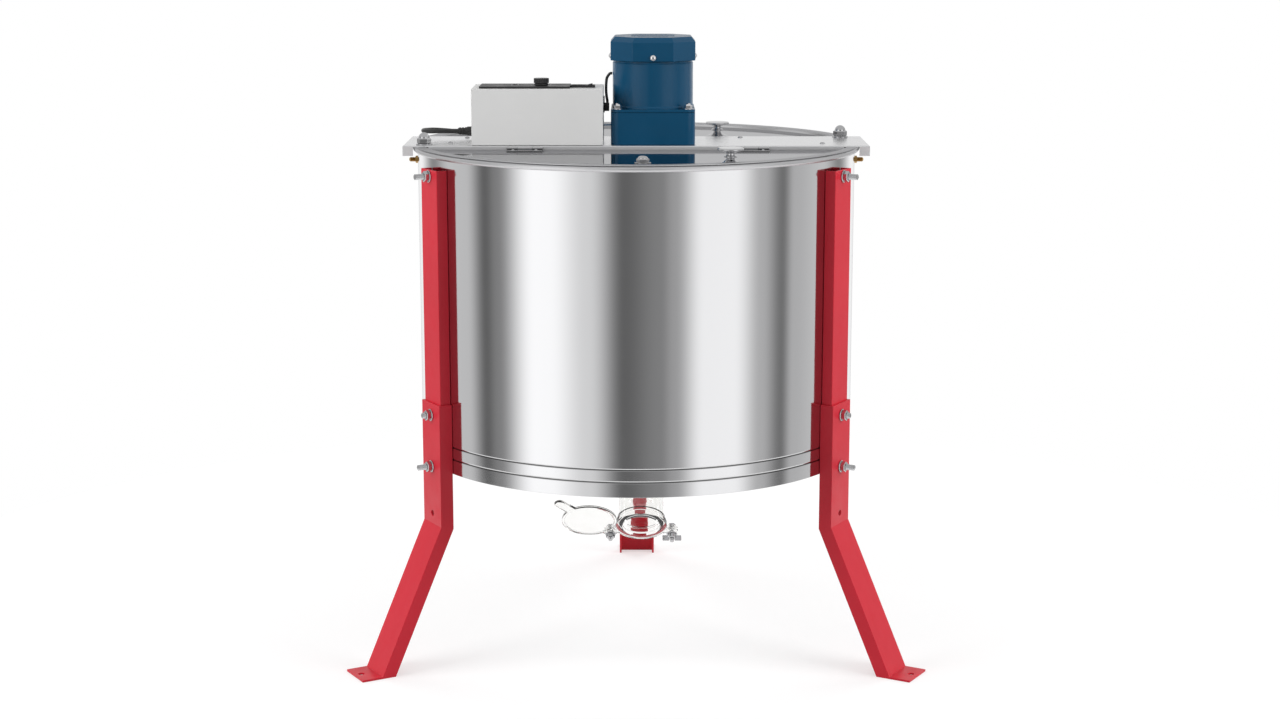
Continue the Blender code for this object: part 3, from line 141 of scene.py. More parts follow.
def prism(outline, low, high, edge=0.0):
    bm = bmesh.new()
    face = bm.faces.new([bm.verts.new((x, y, low)) for x, y in outline])
    grown = bmesh.ops.extrude_face_region(bm, geom=[face])["geom"]
    tops = [item for item in grown if isinstance(item, bmesh.types.BMVert)]
    bmesh.ops.translate(bm, vec=(0, 0, high - low), verts=tops)
    bmesh.ops.recalc_face_normals(bm, faces=bm.faces)
    return bevelled(bm, edge) if edge else bm


def block(x, y, z, edge=0.0):
    bm = bmesh.new()
    middle = [sum(span) / 2 for span in (x, y, z)]
    size = [abs(span[1] - span[0]) for span in (x, y, z)]
    bmesh.ops.create_cube(bm, size=1, matrix=Matrix.Translation(middle) @ Matrix.Diagonal((*size, 1)))
    return bevelled(bm, edge) if edge else bm


def roundedOutline(halfX, halfY, radius, middle=(0, 0), steps=10):
    points = []
    for quarter, (sideX, sideY) in enumerate(((1, 1), (-1, 1), (-1, -1), (1, -1))):
        for turn in np.linspace(0, math.pi / 2, steps + 1):
            angle = quarter * math.pi / 2 + turn
            points.append((middle[0] + sideX * (halfX - radius) + radius * math.cos(angle),
                           middle[1] + sideY * (halfY - radius) + radius * math.sin(angle)))
    return points


def combined(bm, other, operation):
    # one mesh cut by, or joined with, another
    pair = []
    for part in (bm, other):
        mesh = bpy.data.meshes.new("trim")
        part.to_mesh(mesh)
        part.free()
        pair.append(bpy.data.objects.new("trim", mesh))
        bpy.context.scene.collection.objects.link(pair[-1])
    trim = pair[0].modifiers.new("trim", "BOOLEAN")
    trim.object = pair[1]
    trim.operation = operation
    trim.solver = "EXACT"
    done = bmesh.new()
    done.from_mesh(pair[0].evaluated_get(bpy.context.evaluated_depsgraph_get()).to_mesh())
    for item in pair:
        mesh = item.data
        bpy.data.objects.remove(item)
        bpy.data.meshes.remove(mesh)
    return done


def plainCopy(node):
    # a copy of a CAD node's mesh, its flat faces whole
    bm = bmesh.new()
    bm.from_mesh(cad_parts[node].data)
    bmesh.ops.remove_doubles(bm, verts=bm.verts, dist=1e-5)
    bmesh.ops.dissolve_limit(bm, angle_limit=math.radians(1), verts=bm.verts, edges=bm.edges)
    return bm


def softened(node, width, segments=2, sharper=18):
    return bevelled(plainCopy(node), width, segments, sharper)


def smoothRoute(points, spacing):
    # points at an even spacing along a smooth curve through the route's points
    p = np.array(points, float)
    p = np.vstack([2 * p[0] - p[1], p, 2 * p[-1] - p[-2]])
    fine = []
    for i in range(1, len(p) - 2):
        for t in np.linspace(0, 1, 24, endpoint=False):
            fine.append(0.5 * (2 * p[i] + (p[i + 1] - p[i - 1]) * t
                               + (2 * p[i - 1] - 5 * p[i] + 4 * p[i + 1] - p[i + 2]) * t * t
                               + (3 * p[i] - p[i - 1] - 3 * p[i + 1] + p[i + 2]) * t ** 3))
    fine = np.array(fine + [p[-2]])
    along = np.concatenate([[0], np.cumsum(np.linalg.norm(np.diff(fine, axis=0), axis=1))])
    wanted = np.linspace(0, along[-1], max(2, round(along[-1] / spacing)) + 1)
    return np.stack([np.interp(wanted, along, fine[:, k]) for k in range(3)], axis=1)


def tubeCurve(name, points, radius):
    curve = bpy.data.curves.new(name, "CURVE")
    curve.dimensions = "3D"
    curve.bevel_depth = radius
    curve.bevel_resolution = 5
    curve.use_fill_caps = True
    spline = curve.splines.new("POLY")
    spline.points.add(len(points) - 1)
    for knot, point in zip(spline.points, points):
        knot.co = (*point, 1)
    tube = bpy.data.objects.new(name, curve)
    bpy.context.scene.collection.objects.link(tube)
    return tube


def meshOf(thing):
    # a curve or text as a mesh, and the thing itself removed
    bm = bmesh.new()
    bm.from_mesh(thing.evaluated_get(bpy.context.evaluated_depsgraph_get()).to_mesh())
    data = thing.data
    bpy.data.objects.remove(thing)
    bpy.data.curves.remove(data)
    bmesh.ops.remove_doubles(bm, verts=bm.verts, dist=1e-6)
    return bm


def fastener(*parts):
    # stacked turned shapes along +Z: (shape, radius, low, high)
    made = []
    for shape, radius, low, high in parts:
        if shape == "thread":
            turns = max(2, round((high - low) / 0.0012))
            pitch = (high - low) / turns
            profile = [(0, low)]
            for i in range(turns):
                profile += [(0.84 * radius, low + pitch * i), (radius, low + pitch * (i + 0.5))]
            profile += [(0.84 * radius, high - 0.1 * pitch), (0.6 * radius, high), (0, high)]
        elif shape == "dome":
            arc = [(radius * math.cos(t), low + (high - low) * math.sin(t)) for t in np.linspace(0, 1.5, 9)]
            profile = [(0, low)] + arc + [(0, high)]
        else:
            lip = min(0.12 * radius, 0.3 * (high - low))
            profile = [(0, low), (radius - lip, low), (radius, low + lip), (radius, high - lip),
                       (radius - lip, high), (0, high)]
        made.append(spun(profile, 6 if shape == "hex" else 28))
    return merged(*made)


# Finishes

def effectGroup(name, inputs, outputs):
    group = bpy.data.node_groups.new(name, "ShaderNodeTree")
    for label, kind, value in inputs:
        group.interface.new_socket(label, in_out="INPUT", socket_type=kind).default_value = value
    for label, kind in outputs:
        group.interface.new_socket(label, in_out="OUTPUT", socket_type=kind)
    return group, group.nodes.new("NodeGroupInput"), group.nodes.new("NodeGroupOutput")


def addNode(tree, kind, values=None, **settings):
    node = tree.nodes.new(kind)
    for key, value in settings.items():
        setattr(node, key, value)
    for socket, value in (values or {}).items():
        node.inputs[socket].default_value = value
    return node


def noiseNode(tree, vector, scale, detail, stretch=(1, 1, 1)):
    mapping = addNode(tree, "ShaderNodeMapping", {"Scale": stretch})
    tree.links.new(vector, mapping.inputs["Vector"])
    noise = addNode(tree, "ShaderNodeTexNoise", {"Scale": scale, "Detail": detail, "Roughness": 0.6})
    tree.links.new(mapping.outputs[0], noise.inputs["Vector"])
    return noise.outputs["Fac"]


def rangeNode(tree, value, low, high, start=0.3, end=0.7):
    node = addNode(tree, "ShaderNodeMapRange", {"From Min": start, "From Max": end})
    tree.links.new(value, node.inputs["Value"])
    for target, source in (("To Min", low), ("To Max", high)):
        if isinstance(source, (int, float)):
            node.inputs[target].default_value = source
        else:
            tree.links.new(source, node.inputs[target])
    return node.outputs["Result"]


def makeSheetGrain():
    # rolled or brushed sheet: fine lines along its length, and faint smudges
    group, given, out = effectGroup("sheetGrain", [
        ("Vector", "NodeSocketVector", (0, 0, 0)), ("Smooth", "NodeSocketFloat", 0.1),
        ("Rough", "NodeSocketFloat", 0.2)], [("Roughness", "NodeSocketFloat"), ("Height", "NodeSocketFloat")])
    lines = noiseNode(group, given.outputs["Vector"], 5, 5, (6, 6, 420))
    smudge = noiseNode(group, given.outputs["Vector"], 11, 4)
    both = addNode(group, "ShaderNodeMath", {1: 0.5}, operation="MULTIPLY_ADD")
    group.links.new(lines, both.inputs[0])
    half = addNode(group, "ShaderNodeMath", {1: 0.5}, operation="MULTIPLY")
    group.links.new(smudge, half.inputs[0])
    group.links.new(half.outputs[0], both.inputs[2])
    rough = rangeNode(group, both.outputs[0], given.outputs["Smooth"], given.outputs["Rough"], 0.35, 0.65)
    group.links.new(rough, out.inputs["Roughness"])
    group.links.new(lines, out.inputs["Height"])
    return group


def makePaintSkin():
    # sprayed paint: orange peel, and a tone that drifts a little
    group, given, out = effectGroup("paintSkin", [
        ("Vector", "NodeSocketVector", (0, 0, 0)), ("Tone", "NodeSocketColor", (0.5, 0.5, 0.5, 1)),
        ("Deep tone", "NodeSocketColor", (0.4, 0.4, 0.4, 1)), ("Peel", "NodeSocketFloat", 700.0)],
        [("Color", "NodeSocketColor"), ("Roughness", "NodeSocketFloat"), ("Height", "NodeSocketFloat")])
    drift = noiseNode(group, given.outputs["Vector"], 7, 4)
    share = rangeNode(group, drift, 0.0, 1.0)
    tones = addNode(group, "ShaderNodeMix", data_type="RGBA")
    group.links.new(share, tones.inputs["Factor"])
    group.links.new(given.outputs["Tone"], tones.inputs[6])
    group.links.new(given.outputs["Deep tone"], tones.inputs[7])
    group.links.new(tones.outputs[2], out.inputs["Color"])
    peel = addNode(group, "ShaderNodeTexNoise", {"Detail": 2.0})
    group.links.new(given.outputs["Vector"], peel.inputs["Vector"])
    group.links.new(given.outputs["Peel"], peel.inputs["Scale"])
    group.links.new(peel.outputs["Fac"], out.inputs["Height"])
    scuff = noiseNode(group, given.outputs["Vector"], 45, 6)
    group.links.new(rangeNode(group, scuff, 0.28, 0.44), out.inputs["Roughness"])
    return group


def makeMoulding():
    # moulded plastic and rubber: fine spark texture, with handling shine
    group, given, out = effectGroup("moulding", [
        ("Vector", "NodeSocketVector", (0, 0, 0)), ("Tone", "NodeSocketColor", (0.02, 0.02, 0.02, 1)),
        ("Worn tone", "NodeSocketColor", (0.03, 0.03, 0.03, 1))],
        [("Color", "NodeSocketColor"), ("Roughness", "NodeSocketFloat"), ("Height", "NodeSocketFloat")])
    spark = noiseNode(group, given.outputs["Vector"], 1800, 2)
    worn = noiseNode(group, given.outputs["Vector"], 60, 5)
    tones = addNode(group, "ShaderNodeMix", data_type="RGBA")
    group.links.new(rangeNode(group, worn, 0.0, 1.0), tones.inputs["Factor"])
    group.links.new(given.outputs["Tone"], tones.inputs[6])
    group.links.new(given.outputs["Worn tone"], tones.inputs[7])
    group.links.new(tones.outputs[2], out.inputs["Color"])
    group.links.new(rangeNode(group, worn, 0.34, 0.55), out.inputs["Roughness"])
    group.links.new(spark, out.inputs["Height"])
    return group


def makeSatinEdge():
    # folded and rolled edges, duller than their sheet: the roughness changes over a span of height
    group, given, out = effectGroup("satinEdge", [
        ("Vector", "NodeSocketVector", (0, 0, 0)), ("Roughness", "NodeSocketFloat", 0.1),
        ("Satin", "NodeSocketFloat", 0.4), ("Sheet height", "NodeSocketFloat", 0.0),
        ("Edge height", "NodeSocketFloat", 1.0)], [("Roughness", "NodeSocketFloat")])
    split = addNode(group, "ShaderNodeSeparateXYZ")
    group.links.new(given.outputs["Vector"], split.inputs[0])
    change = addNode(group, "ShaderNodeMapRange")
    group.links.new(split.outputs["Z"], change.inputs["Value"])
    for target, source in (("From Min", "Sheet height"), ("From Max", "Edge height"), ("To Min", "Roughness"),
                           ("To Max", "Satin")):
        group.links.new(given.outputs[source], change.inputs[target])
    group.links.new(change.outputs["Result"], out.inputs["Roughness"])
    return group


def surface(name, group, inputs, sockets, bump, turn=(0, 0, 0)):
    # a Principled material whose varying sockets come from an effect group
    material = bpy.data.materials.new(name)
    material.use_nodes = True
    tree = material.node_tree
    shader = tree.nodes["Principled BSDF"]
    coords = addNode(tree, "ShaderNodeTexCoord")
    mapping = addNode(tree, "ShaderNodeMapping", {"Rotation": turn})
    effect = addNode(tree, "ShaderNodeGroup", node_tree=group)
    tree.links.new(coords.outputs["Object"], mapping.inputs["Vector"])
    tree.links.new(mapping.outputs[0], effect.inputs["Vector"])
    for label, value in inputs.items():
        effect.inputs[label].default_value = value
    for label, value in sockets.items():
        shader.inputs[label].default_value = value
    for label, target in (("Color", "Base Color"), ("Roughness", "Roughness")):
        if label in effect.outputs:
            tree.links.new(effect.outputs[label], shader.inputs[target])
    relief = addNode(tree, "ShaderNodeBump", {"Strength": 1.0, "Distance": bump})
    tree.links.new(effect.outputs["Height"], relief.inputs["Height"])
    tree.links.new(relief.outputs["Normal"], shader.inputs["Normal"])
    return material


sheetGrain = makeSheetGrain()
paintSkin = makePaintSkin()
moulding = makeMoulding()
satinEdge = makeSatinEdge()
alongX = (math.pi / 2, 0, 0)


def metal(name, color, smooth, rough, bump, turn=(0, 0, 0)):
    sockets = {"Base Color": (*color, 1), "Metallic": 1.0}
    return surface(name, sheetGrain, {"Smooth": smooth, "Rough": rough}, sockets, bump, turn)


def dullEdge(material, sheetHeight, edgeHeight, satin):
    tree = material.node_tree
    roughness = tree.nodes["Principled BSDF"].inputs["Roughness"]
    coords = addNode(tree, "ShaderNodeTexCoord")
    effect = addNode(tree, "ShaderNodeGroup", {"Satin": satin, "Sheet height": rimHeight + sheetHeight,
                                               "Edge height": rimHeight + edgeHeight}, node_tree=satinEdge)
    tree.links.new(coords.outputs["Object"], effect.inputs["Vector"])
    tree.links.new(roughness.links[0].from_socket, effect.inputs["Roughness"])
    tree.links.new(effect.outputs["Roughness"], roughness)


def paint(name, tone, deep, peel, bump, coat, shine):
    sockets = {"Coat Weight": coat, "Coat Roughness": 0.12, "Specular IOR Level": shine}
    return surface(name, paintSkin, {"Tone": (*tone, 1), "Deep tone": (*deep, 1), "Peel": peel}, sockets, bump)


def plastic(name, tone, worn, bump):
    sockets = {"Specular IOR Level": 0.5}
    return surface(name, moulding, {"Tone": (*tone, 1), "Worn tone": (*worn, 1)}, sockets, bump)


mirrorSteel = metal("mirrorSteel", (0.60, 0.60, 0.61), 0.04, 0.09, 0.000001)
drumSteel = metal("drumSteel", (0.68, 0.68, 0.69), 0.05, 0.11, 0.000002)
lidSteel = metal("lidSteel", (0.62, 0.62, 0.63), 0.04, 0.08, 0.0000004, alongX)
sheetSteel = metal("sheetSteel", (0.66, 0.66, 0.67), 0.16, 0.28, 0.000002, alongX)
barSteel = metal("barSteel", (0.87, 0.87, 0.88), 0.24, 0.29, 0.0000002, alongX)
lidSteel.node_tree.nodes["Principled BSDF"].inputs["Specular Tint"].default_value = (0.65, 0.65, 0.66, 1)
dullEdge(drumSteel, -0.0085, -0.0075, 0.42)  # the rolled rim
dullEdge(lidSteel, -0.0015, 0.0, 0.42)  # the lids' flanges
dullEdge(barSteel, 0.0022, 0.0012, 0.50)  # the bar's lips
plainSteel = metal("plainSteel", (0.62, 0.62, 0.63), 0.24, 0.38, 0.00001)
boltSteel = metal("boltSteel", (0.56, 0.56, 0.57), 0.08, 0.18, 0.000004)
zincSteel = metal("zincSteel", (0.84, 0.84, 0.85), 0.10, 0.22, 0.000004)
darkSteel = metal("darkSteel", (0.33, 0.33, 0.34), 0.28, 0.42, 0.00001)
brassMetal = metal("brassMetal", (0.50, 0.31, 0.11), 0.18, 0.34, 0.000006)
copperWire = metal("copperWire", (0.72, 0.34, 0.19), 0.25, 0.42, 0.00002)
redPaint = paint("redPaint", (0.63, 0.020, 0.039), (0.57, 0.016, 0.032), 900, 0.00003, 0.10, 0.2)
bluePaint = paint("bluePaint", (0.002, 0.068, 0.150), (0.001, 0.058, 0.129), 600, 0.00004, 0.25, 0.15)
greyPaint = paint("greyPaint", (0.77, 0.77, 0.765), (0.73, 0.73, 0.725), 800, 0.00003, 0.05, 0.3)
blackPlastic = plastic("blackPlastic", (0.012, 0.012, 0.013), (0.024, 0.024, 0.025), 0.00002)
blackRubber = plastic("blackRubber", (0.016, 0.016, 0.016), (0.030, 0.030, 0.029), 0.00004)
printWhite = plastic("printWhite", (0.70, 0.70, 0.69), (0.60, 0.60, 0.59), 0.00001)
clearPlastic = surface("clearPlastic", moulding, {"Tone": (0.97, 0.97, 0.96, 1), "Worn tone": (0.94, 0.94, 0.92, 1)},
                       {"Transmission Weight": 1.0, "IOR": 1.46}, 0.000002)
clearPlastic.node_tree.links.remove(clearPlastic.node_tree.nodes["Principled BSDF"].inputs["Roughness"].links[0])
clearPlastic.node_tree.nodes["Principled BSDF"].inputs["Roughness"].default_value = 0.04
print("finishes made")


# Camera, light and floor

view = {"lens": 63.96, "place": (0.0053, -3.3061, 1.0379), "pitch": 0.1932}
studio = {"floorRadius": 1.25, "screenRadius": 6.0, "screenStrength": 1.465, "horizon": 0.55, "ceiling": 0.46,
          "fill": 0.45, "floorTone": 0.5, "floorGlow": 0.52}
# tones of the soft boxes and dark cards that polished sheet reflects, by degrees to the right of the camera
studioBands = ((-180, 0.38), (-150, 0.75), (-128, 0.22), (-110, 0.50), (-96, 0.48), (-82, 0.11), (-74, 0.20),
               (-52, 0.96), (-44, 0.95), (-24, 0.62), (-6, 0.11), (12, 0.20), (19, 0.31), (34, 0.84), (50, 0.85),
               (66, 0.40), (79, 0.15), (87, 0.40), (110, 0.50), (128, 0.22), (150, 0.75), (180, 0.38))
lamps = {"left": (-65, 20, 49), "right": (65, 20, 49), "rearLeft": (-135, 20, 27), "rearRight": (135, 20, 27)}


def makeCamera():
    data = bpy.data.cameras.new("camera")
    data.lens = view["lens"]
    camera = bpy.data.objects.new("camera", data)
    camera.location = view["place"]
    camera.rotation_euler = (math.pi / 2 - view["pitch"], 0, 0)
    bpy.context.scene.collection.objects.link(camera)
    bpy.context.scene.camera = camera


def seenDirectly(tree):
    # 1 where the camera, a reflection or a clear piece looks, and 0 for the light on the object
    light = addNode(tree, "ShaderNodeLightPath")
    seen = light.outputs["Is Camera Ray"]
    for label in ("Is Glossy Ray", "Is Transmission Ray"):
        most = addNode(tree, "ShaderNodeMath", operation="MAXIMUM")
        tree.links.new(seen, most.inputs[0])
        tree.links.new(light.outputs[label], most.inputs[1])
        seen = most.outputs[0]
    return seen


def makeWorld():
    world = bpy.data.worlds.new("studio")
    bpy.context.scene.world = world
    world.use_nodes = True
    tree = world.node_tree
    background = tree.nodes["Background"]
    tree.links.new(rangeNode(tree, seenDirectly(tree), studio["fill"], 1.0, 0, 1), background.inputs["Strength"])
    background.inputs["Color"].default_value = (1, 1, 1, 1)


def makeScreen():
    # a round studio screen, which only reflections show, under an even ceiling
    bm = bmesh.new()
    bmesh.ops.create_uvsphere(bm, u_segments=96, v_segments=48, radius=studio["screenRadius"])
    mesh = bpy.data.meshes.new("screen")
    bm.to_mesh(mesh)
    bm.free()
    material = bpy.data.materials.new("screen")
    material.use_nodes = True
    tree = material.node_tree
    tree.nodes.remove(tree.nodes["Principled BSDF"])
    coords = addNode(tree, "ShaderNodeTexCoord")
    split = addNode(tree, "ShaderNodeSeparateXYZ")
    back = addNode(tree, "ShaderNodeMath", {1: -1.0}, operation="MULTIPLY")
    turn = addNode(tree, "ShaderNodeMath", operation="ARCTAN2")
    bands = addNode(tree, "ShaderNodeValToRGB")
    glow = addNode(tree, "ShaderNodeEmission", {"Strength": studio["screenStrength"]})
    tree.links.new(coords.outputs["Object"], split.inputs[0])
    tree.links.new(split.outputs["Y"], back.inputs[0])
    tree.links.new(split.outputs["X"], turn.inputs[0])
    tree.links.new(back.outputs[0], turn.inputs[1])
    tree.links.new(rangeNode(tree, turn.outputs[0], 0.0, 1.0, -math.pi, math.pi), bands.inputs["Fac"])
    bands.color_ramp.interpolation = "EASE"
    stops = bands.color_ramp.elements
    while len(stops) < len(studioBands):
        stops.new(0.5)
    for stop, (degrees, tone) in zip(stops, studioBands):
        stop.position = degrees / 360 + 0.5
        stop.color = (tone, tone, tone, 1)
    height = addNode(tree, "ShaderNodeMath", {1: 1 / studio["screenRadius"]}, operation="MULTIPLY")
    tree.links.new(split.outputs["Z"], height.inputs[0])
    away = addNode(tree, "ShaderNodeMath", operation="ABSOLUTE")
    tree.links.new(turn.outputs[0], away.inputs[0])
    behind = rangeNode(tree, away.outputs[0], 0.0, 1.0, 2.3, 2.8)
    below = bands.outputs["Color"]
    for tone, start, end, most in ((studio["horizon"], 0.05, 0.15, behind), (studio["ceiling"], 0.30, 0.60, 1.0)):
        tones = addNode(tree, "ShaderNodeMix", {7: (tone, tone, tone, 1)}, data_type="RGBA")
        tree.links.new(rangeNode(tree, height.outputs[0], 0.0, most, start, end), tones.inputs["Factor"])
        tree.links.new(below, tones.inputs[6])
        below = tones.outputs[2]
    tree.links.new(below, glow.inputs["Color"])
    tree.links.new(glow.outputs[0], tree.nodes["Material Output"].inputs["Surface"])
    mesh.materials.append(material)
    screen = bpy.data.objects.new("screen", mesh)
    bpy.context.scene.collection.objects.link(screen)
    screen.visible_camera = False
    screen.visible_diffuse = False
    screen.visible_transmission = False
    screen.visible_shadow = False


def makeFloor():
    bm = bmesh.new()
    bmesh.ops.create_circle(bm, cap_ends=True, radius=studio["floorRadius"], segments=128)
    mesh = bpy.data.meshes.new("floor")
    bm.to_mesh(mesh)
    bm.free()
    material = bpy.data.materials.new("floor")
    material.use_nodes = True
    tree = material.node_tree
    shader = tree.nodes["Principled BSDF"]
    shader.inputs["Base Color"].default_value = (*[studio["floorTone"]] * 3, 1)
    shader.inputs["Roughness"].default_value = 0.9
    shader.inputs["Specular IOR Level"].default_value = 0.0
    shader.inputs["Emission Color"].default_value = (1, 1, 1, 1)
    glow = rangeNode(tree, seenDirectly(tree), 0.0, studio["floorGlow"], 0, 1)
    tree.links.new(glow, shader.inputs["Emission Strength"])
    mesh.materials.append(material)
    floor = bpy.data.objects.new("floor", mesh)
    bpy.context.scene.collection.objects.link(floor)


def makeLamps():
    # soft lamps on a circle round the object: degrees to the right of the camera, degrees up, watts
    middle = Vector((0, -0.07, 0.45))
    for name, (turn, rise, power) in lamps.items():
        away = Matrix.Rotation(math.radians(turn), 3, "Z") @ Matrix.Rotation(-math.radians(rise), 3, "X")
        data = bpy.data.lights.new(name, "AREA")
        data.size = 1.8
        data.energy = power
        lamp = bpy.data.objects.new(name, data)
        lamp.location = middle + away @ Vector((0, -3.0, 0))
        lamp.rotation_euler = (middle - lamp.location).to_track_quat("-Z", "Y").to_euler()
        lamp.visible_glossy = False
        bpy.context.scene.collection.objects.link(lamp)


makeCamera()
makeWorld()
makeScreen()
makeFloor()
makeLamps()
bpy.context.scene.view_settings.view_transform = "Standard"
print("studio made")


# Mains cord: a free stretch from the gland round to the hank behind the box

cord = {"diameter": 0.0065, "turnRadius": 0.0275, "exit": (-0.2518, -0.025, 0.0186), "bendX": -0.2755,
        "hankX": -0.143, "halfRun": 0.045, "innerRadius": 0.0195, "step": 0.0075, "loops": 2, "waist": 0.010,
        "boxBack": 0.0255, "base": 0.0026, "plugX": -0.135, "plugSide": 0.018}


def hankRoute():
    d = cord["diameter"]
    step, loops, inner, run = cord["step"], cord["loops"], cord["innerRadius"], cord["halfRun"]
    firstY = cord["boxBack"] + 0.0015 + d / 2
    outer = inner + step * loops
    height = cord["base"] + d / 2 + outer
    shares = (0.30, 0.20, 0.30, 0.20)
    count = (7, 5, 7, 5)

    def place(part, f, r):
        if part in (0, 2):
            sign = 1 if part == 0 else -1
            x = sign * run * (2 * f - 1)
            pull = cord["waist"] * 0.5 * (1 + math.cos(math.pi * min(1.0, abs(x) / (0.85 * run))))
            return cord["hankX"] + x, height - sign * (r - pull)
        sign = 1 if part == 1 else -1
        angle = math.pi * (f - 0.5)
        return cord["hankX"] + sign * (run + r * math.cos(angle)), height + sign * r * math.sin(angle)

    leadIn = place(0, 0, outer)
    points = [(leadIn[0] - d, firstY, leadIn[1])]
    turns = 0.0
    for part in (0, 1, 2, 3) * loops:  # spirals in
        for f in np.arange(count[part]) / count[part]:
            x, z = place(part, f, outer - step * (turns + shares[part] * f))
            points.append((x, firstY, z))
        turns += shares[part]
    for f in np.arange(count[0]) / count[0]:  # climbs to the second layer
        x, z = place(0, f, inner - 0.15 * step * math.sin(math.pi * f))
        points.append((x, firstY + step * (0.5 - 0.5 * math.cos(math.pi * f)), z))
    turns = 0.0
    for part in (1, 2, 3, 0, 1, 2, 3):  # spirals out
        for f in np.arange(count[part]) / count[part]:
            x, z = place(part, f, inner + step * (turns + shares[part] * f))
            points.append((x, firstY + step, z))
        turns += shares[part]
    left, lastZ = place(0, 0, inner + step * turns)
    backY = firstY + step
    plugY = backY + d / 2 + 0.001 + cord["plugSide"] / 2
    plugZ = cord["base"] + cord["plugSide"] / 2
    plugStart = cord["plugX"] - 0.009
    points.append((left, backY, lastZ))
    for share in (0.2, 0.4, 0.6, 0.8):
        ease = 0.5 - 0.5 * math.cos(math.pi * share)
        points.append((left + share * (plugStart - left), backY + ease * (plugY - backY),
                       lastZ + ease * (plugZ - lastZ)))
    return points + [(plugStart, plugY, plugZ), (cord["plugX"] - 0.0003, plugY, plugZ)]


def cordRoute():
    hank = hankRoute()
    d, r, bendX = cord["diameter"], cord["turnRadius"], cord["bendX"]
    x, y, z = cord["exit"]
    startX, endY, startZ = hank[0]
    route = [(x, y, z), (x - d, y, z), (bendX - 0.004, y + 0.0004, z - 0.0001)]
    for turn in (30, 60, 90, 120, 150):
        angle = math.radians(turn)
        route.append((bendX - r * math.sin(angle), y + r * (1 - math.cos(angle)), z - 0.0035 * turn / 180))
    route += [(bendX + 0.004, y + 2 * r + 0.0001, z - 0.0044), (bendX + 0.024, endY - 0.0003, z - 0.0064),
              (bendX + 0.042, endY, z - 0.0094), (startX - 2.2 * d, endY, startZ + 0.0010),
              (startX - d, endY, startZ)]
    return smoothRoute(route + hank, 0.003) + np.array(rimFrame.translation)


def makeCord():
    points = cordRoute()
    piece = tubeCurve("mainsCord", points, cord["diameter"] / 2)
    piece.data.materials.append(blackRubber)
    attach(piece, "base")
    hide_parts("power_cord", "cord_hank")
    plug = finishPiece("mainsPlug", softened("plug", 0.0004, 2, 30), blackPlastic, "base", "black_plastic", "plug",
                       inRim=False)
    tie = finishPiece("cordTie", softened("cord_tie", 0.0002, 2, 30), blackPlastic, "base", "black_plastic",
                      "cord_tie", inRim=False)


makeCord()


# Drum

def paintGrooveShade(material, heights, half, tone):
    # painted shade: the shell's base colour is darkened along each rolled groove, in place of the shade that falls in
    # the grooves
    tree = material.node_tree
    shader = tree.nodes["Principled BSDF"]
    coords = addNode(tree, "ShaderNodeTexCoord")
    split = addNode(tree, "ShaderNodeSeparateXYZ")
    tree.links.new(coords.outputs["Object"], split.inputs[0])
    mask = None
    for height in heights:
        away = addNode(tree, "ShaderNodeMath", {1: height}, operation="SUBTRACT")
        apart = addNode(tree, "ShaderNodeMath", operation="ABSOLUTE")
        tree.links.new(split.outputs["Z"], away.inputs[0])
        tree.links.new(away.outputs[0], apart.inputs[0])
        line = rangeNode(tree, apart.outputs[0], 1.0, 0.0, 0.4 * half, half)
        if mask is not None:
            most = addNode(tree, "ShaderNodeMath", operation="MAXIMUM")
            tree.links.new(mask, most.inputs[0])
            tree.links.new(line, most.inputs[1])
            line = most.outputs[0]
        mask = line
    # the shell's own colour, used outside the painted groove shade
    unshadedColor = shader.inputs["Base Color"].default_value
    tones = addNode(tree, "ShaderNodeMix", {6: unshadedColor, 7: (*tone, 1)}, data_type="RGBA")
    tree.links.new(mask, tones.inputs["Factor"])
    tree.links.new(tones.outputs[2], shader.inputs["Base Color"])


drum = {"radius": 0.310, "wall": 0.0012, "height": 0.442, "rimTube": 0.004, "grooveRises": (0.0375, 0.0205),
        "grooveHalf": 0.0022, "grooveDepth": 0.0006, "steps": 256}
bottom = {"skirt": 0.0135, "depth": 0.030, "sheet": 0.0012, "outlet": (0.007, -0.060), "landTop": -0.4715,
          "landRadius": 0.046, "holeRadius": 0.0323, "skirtRadius": 0.3085}


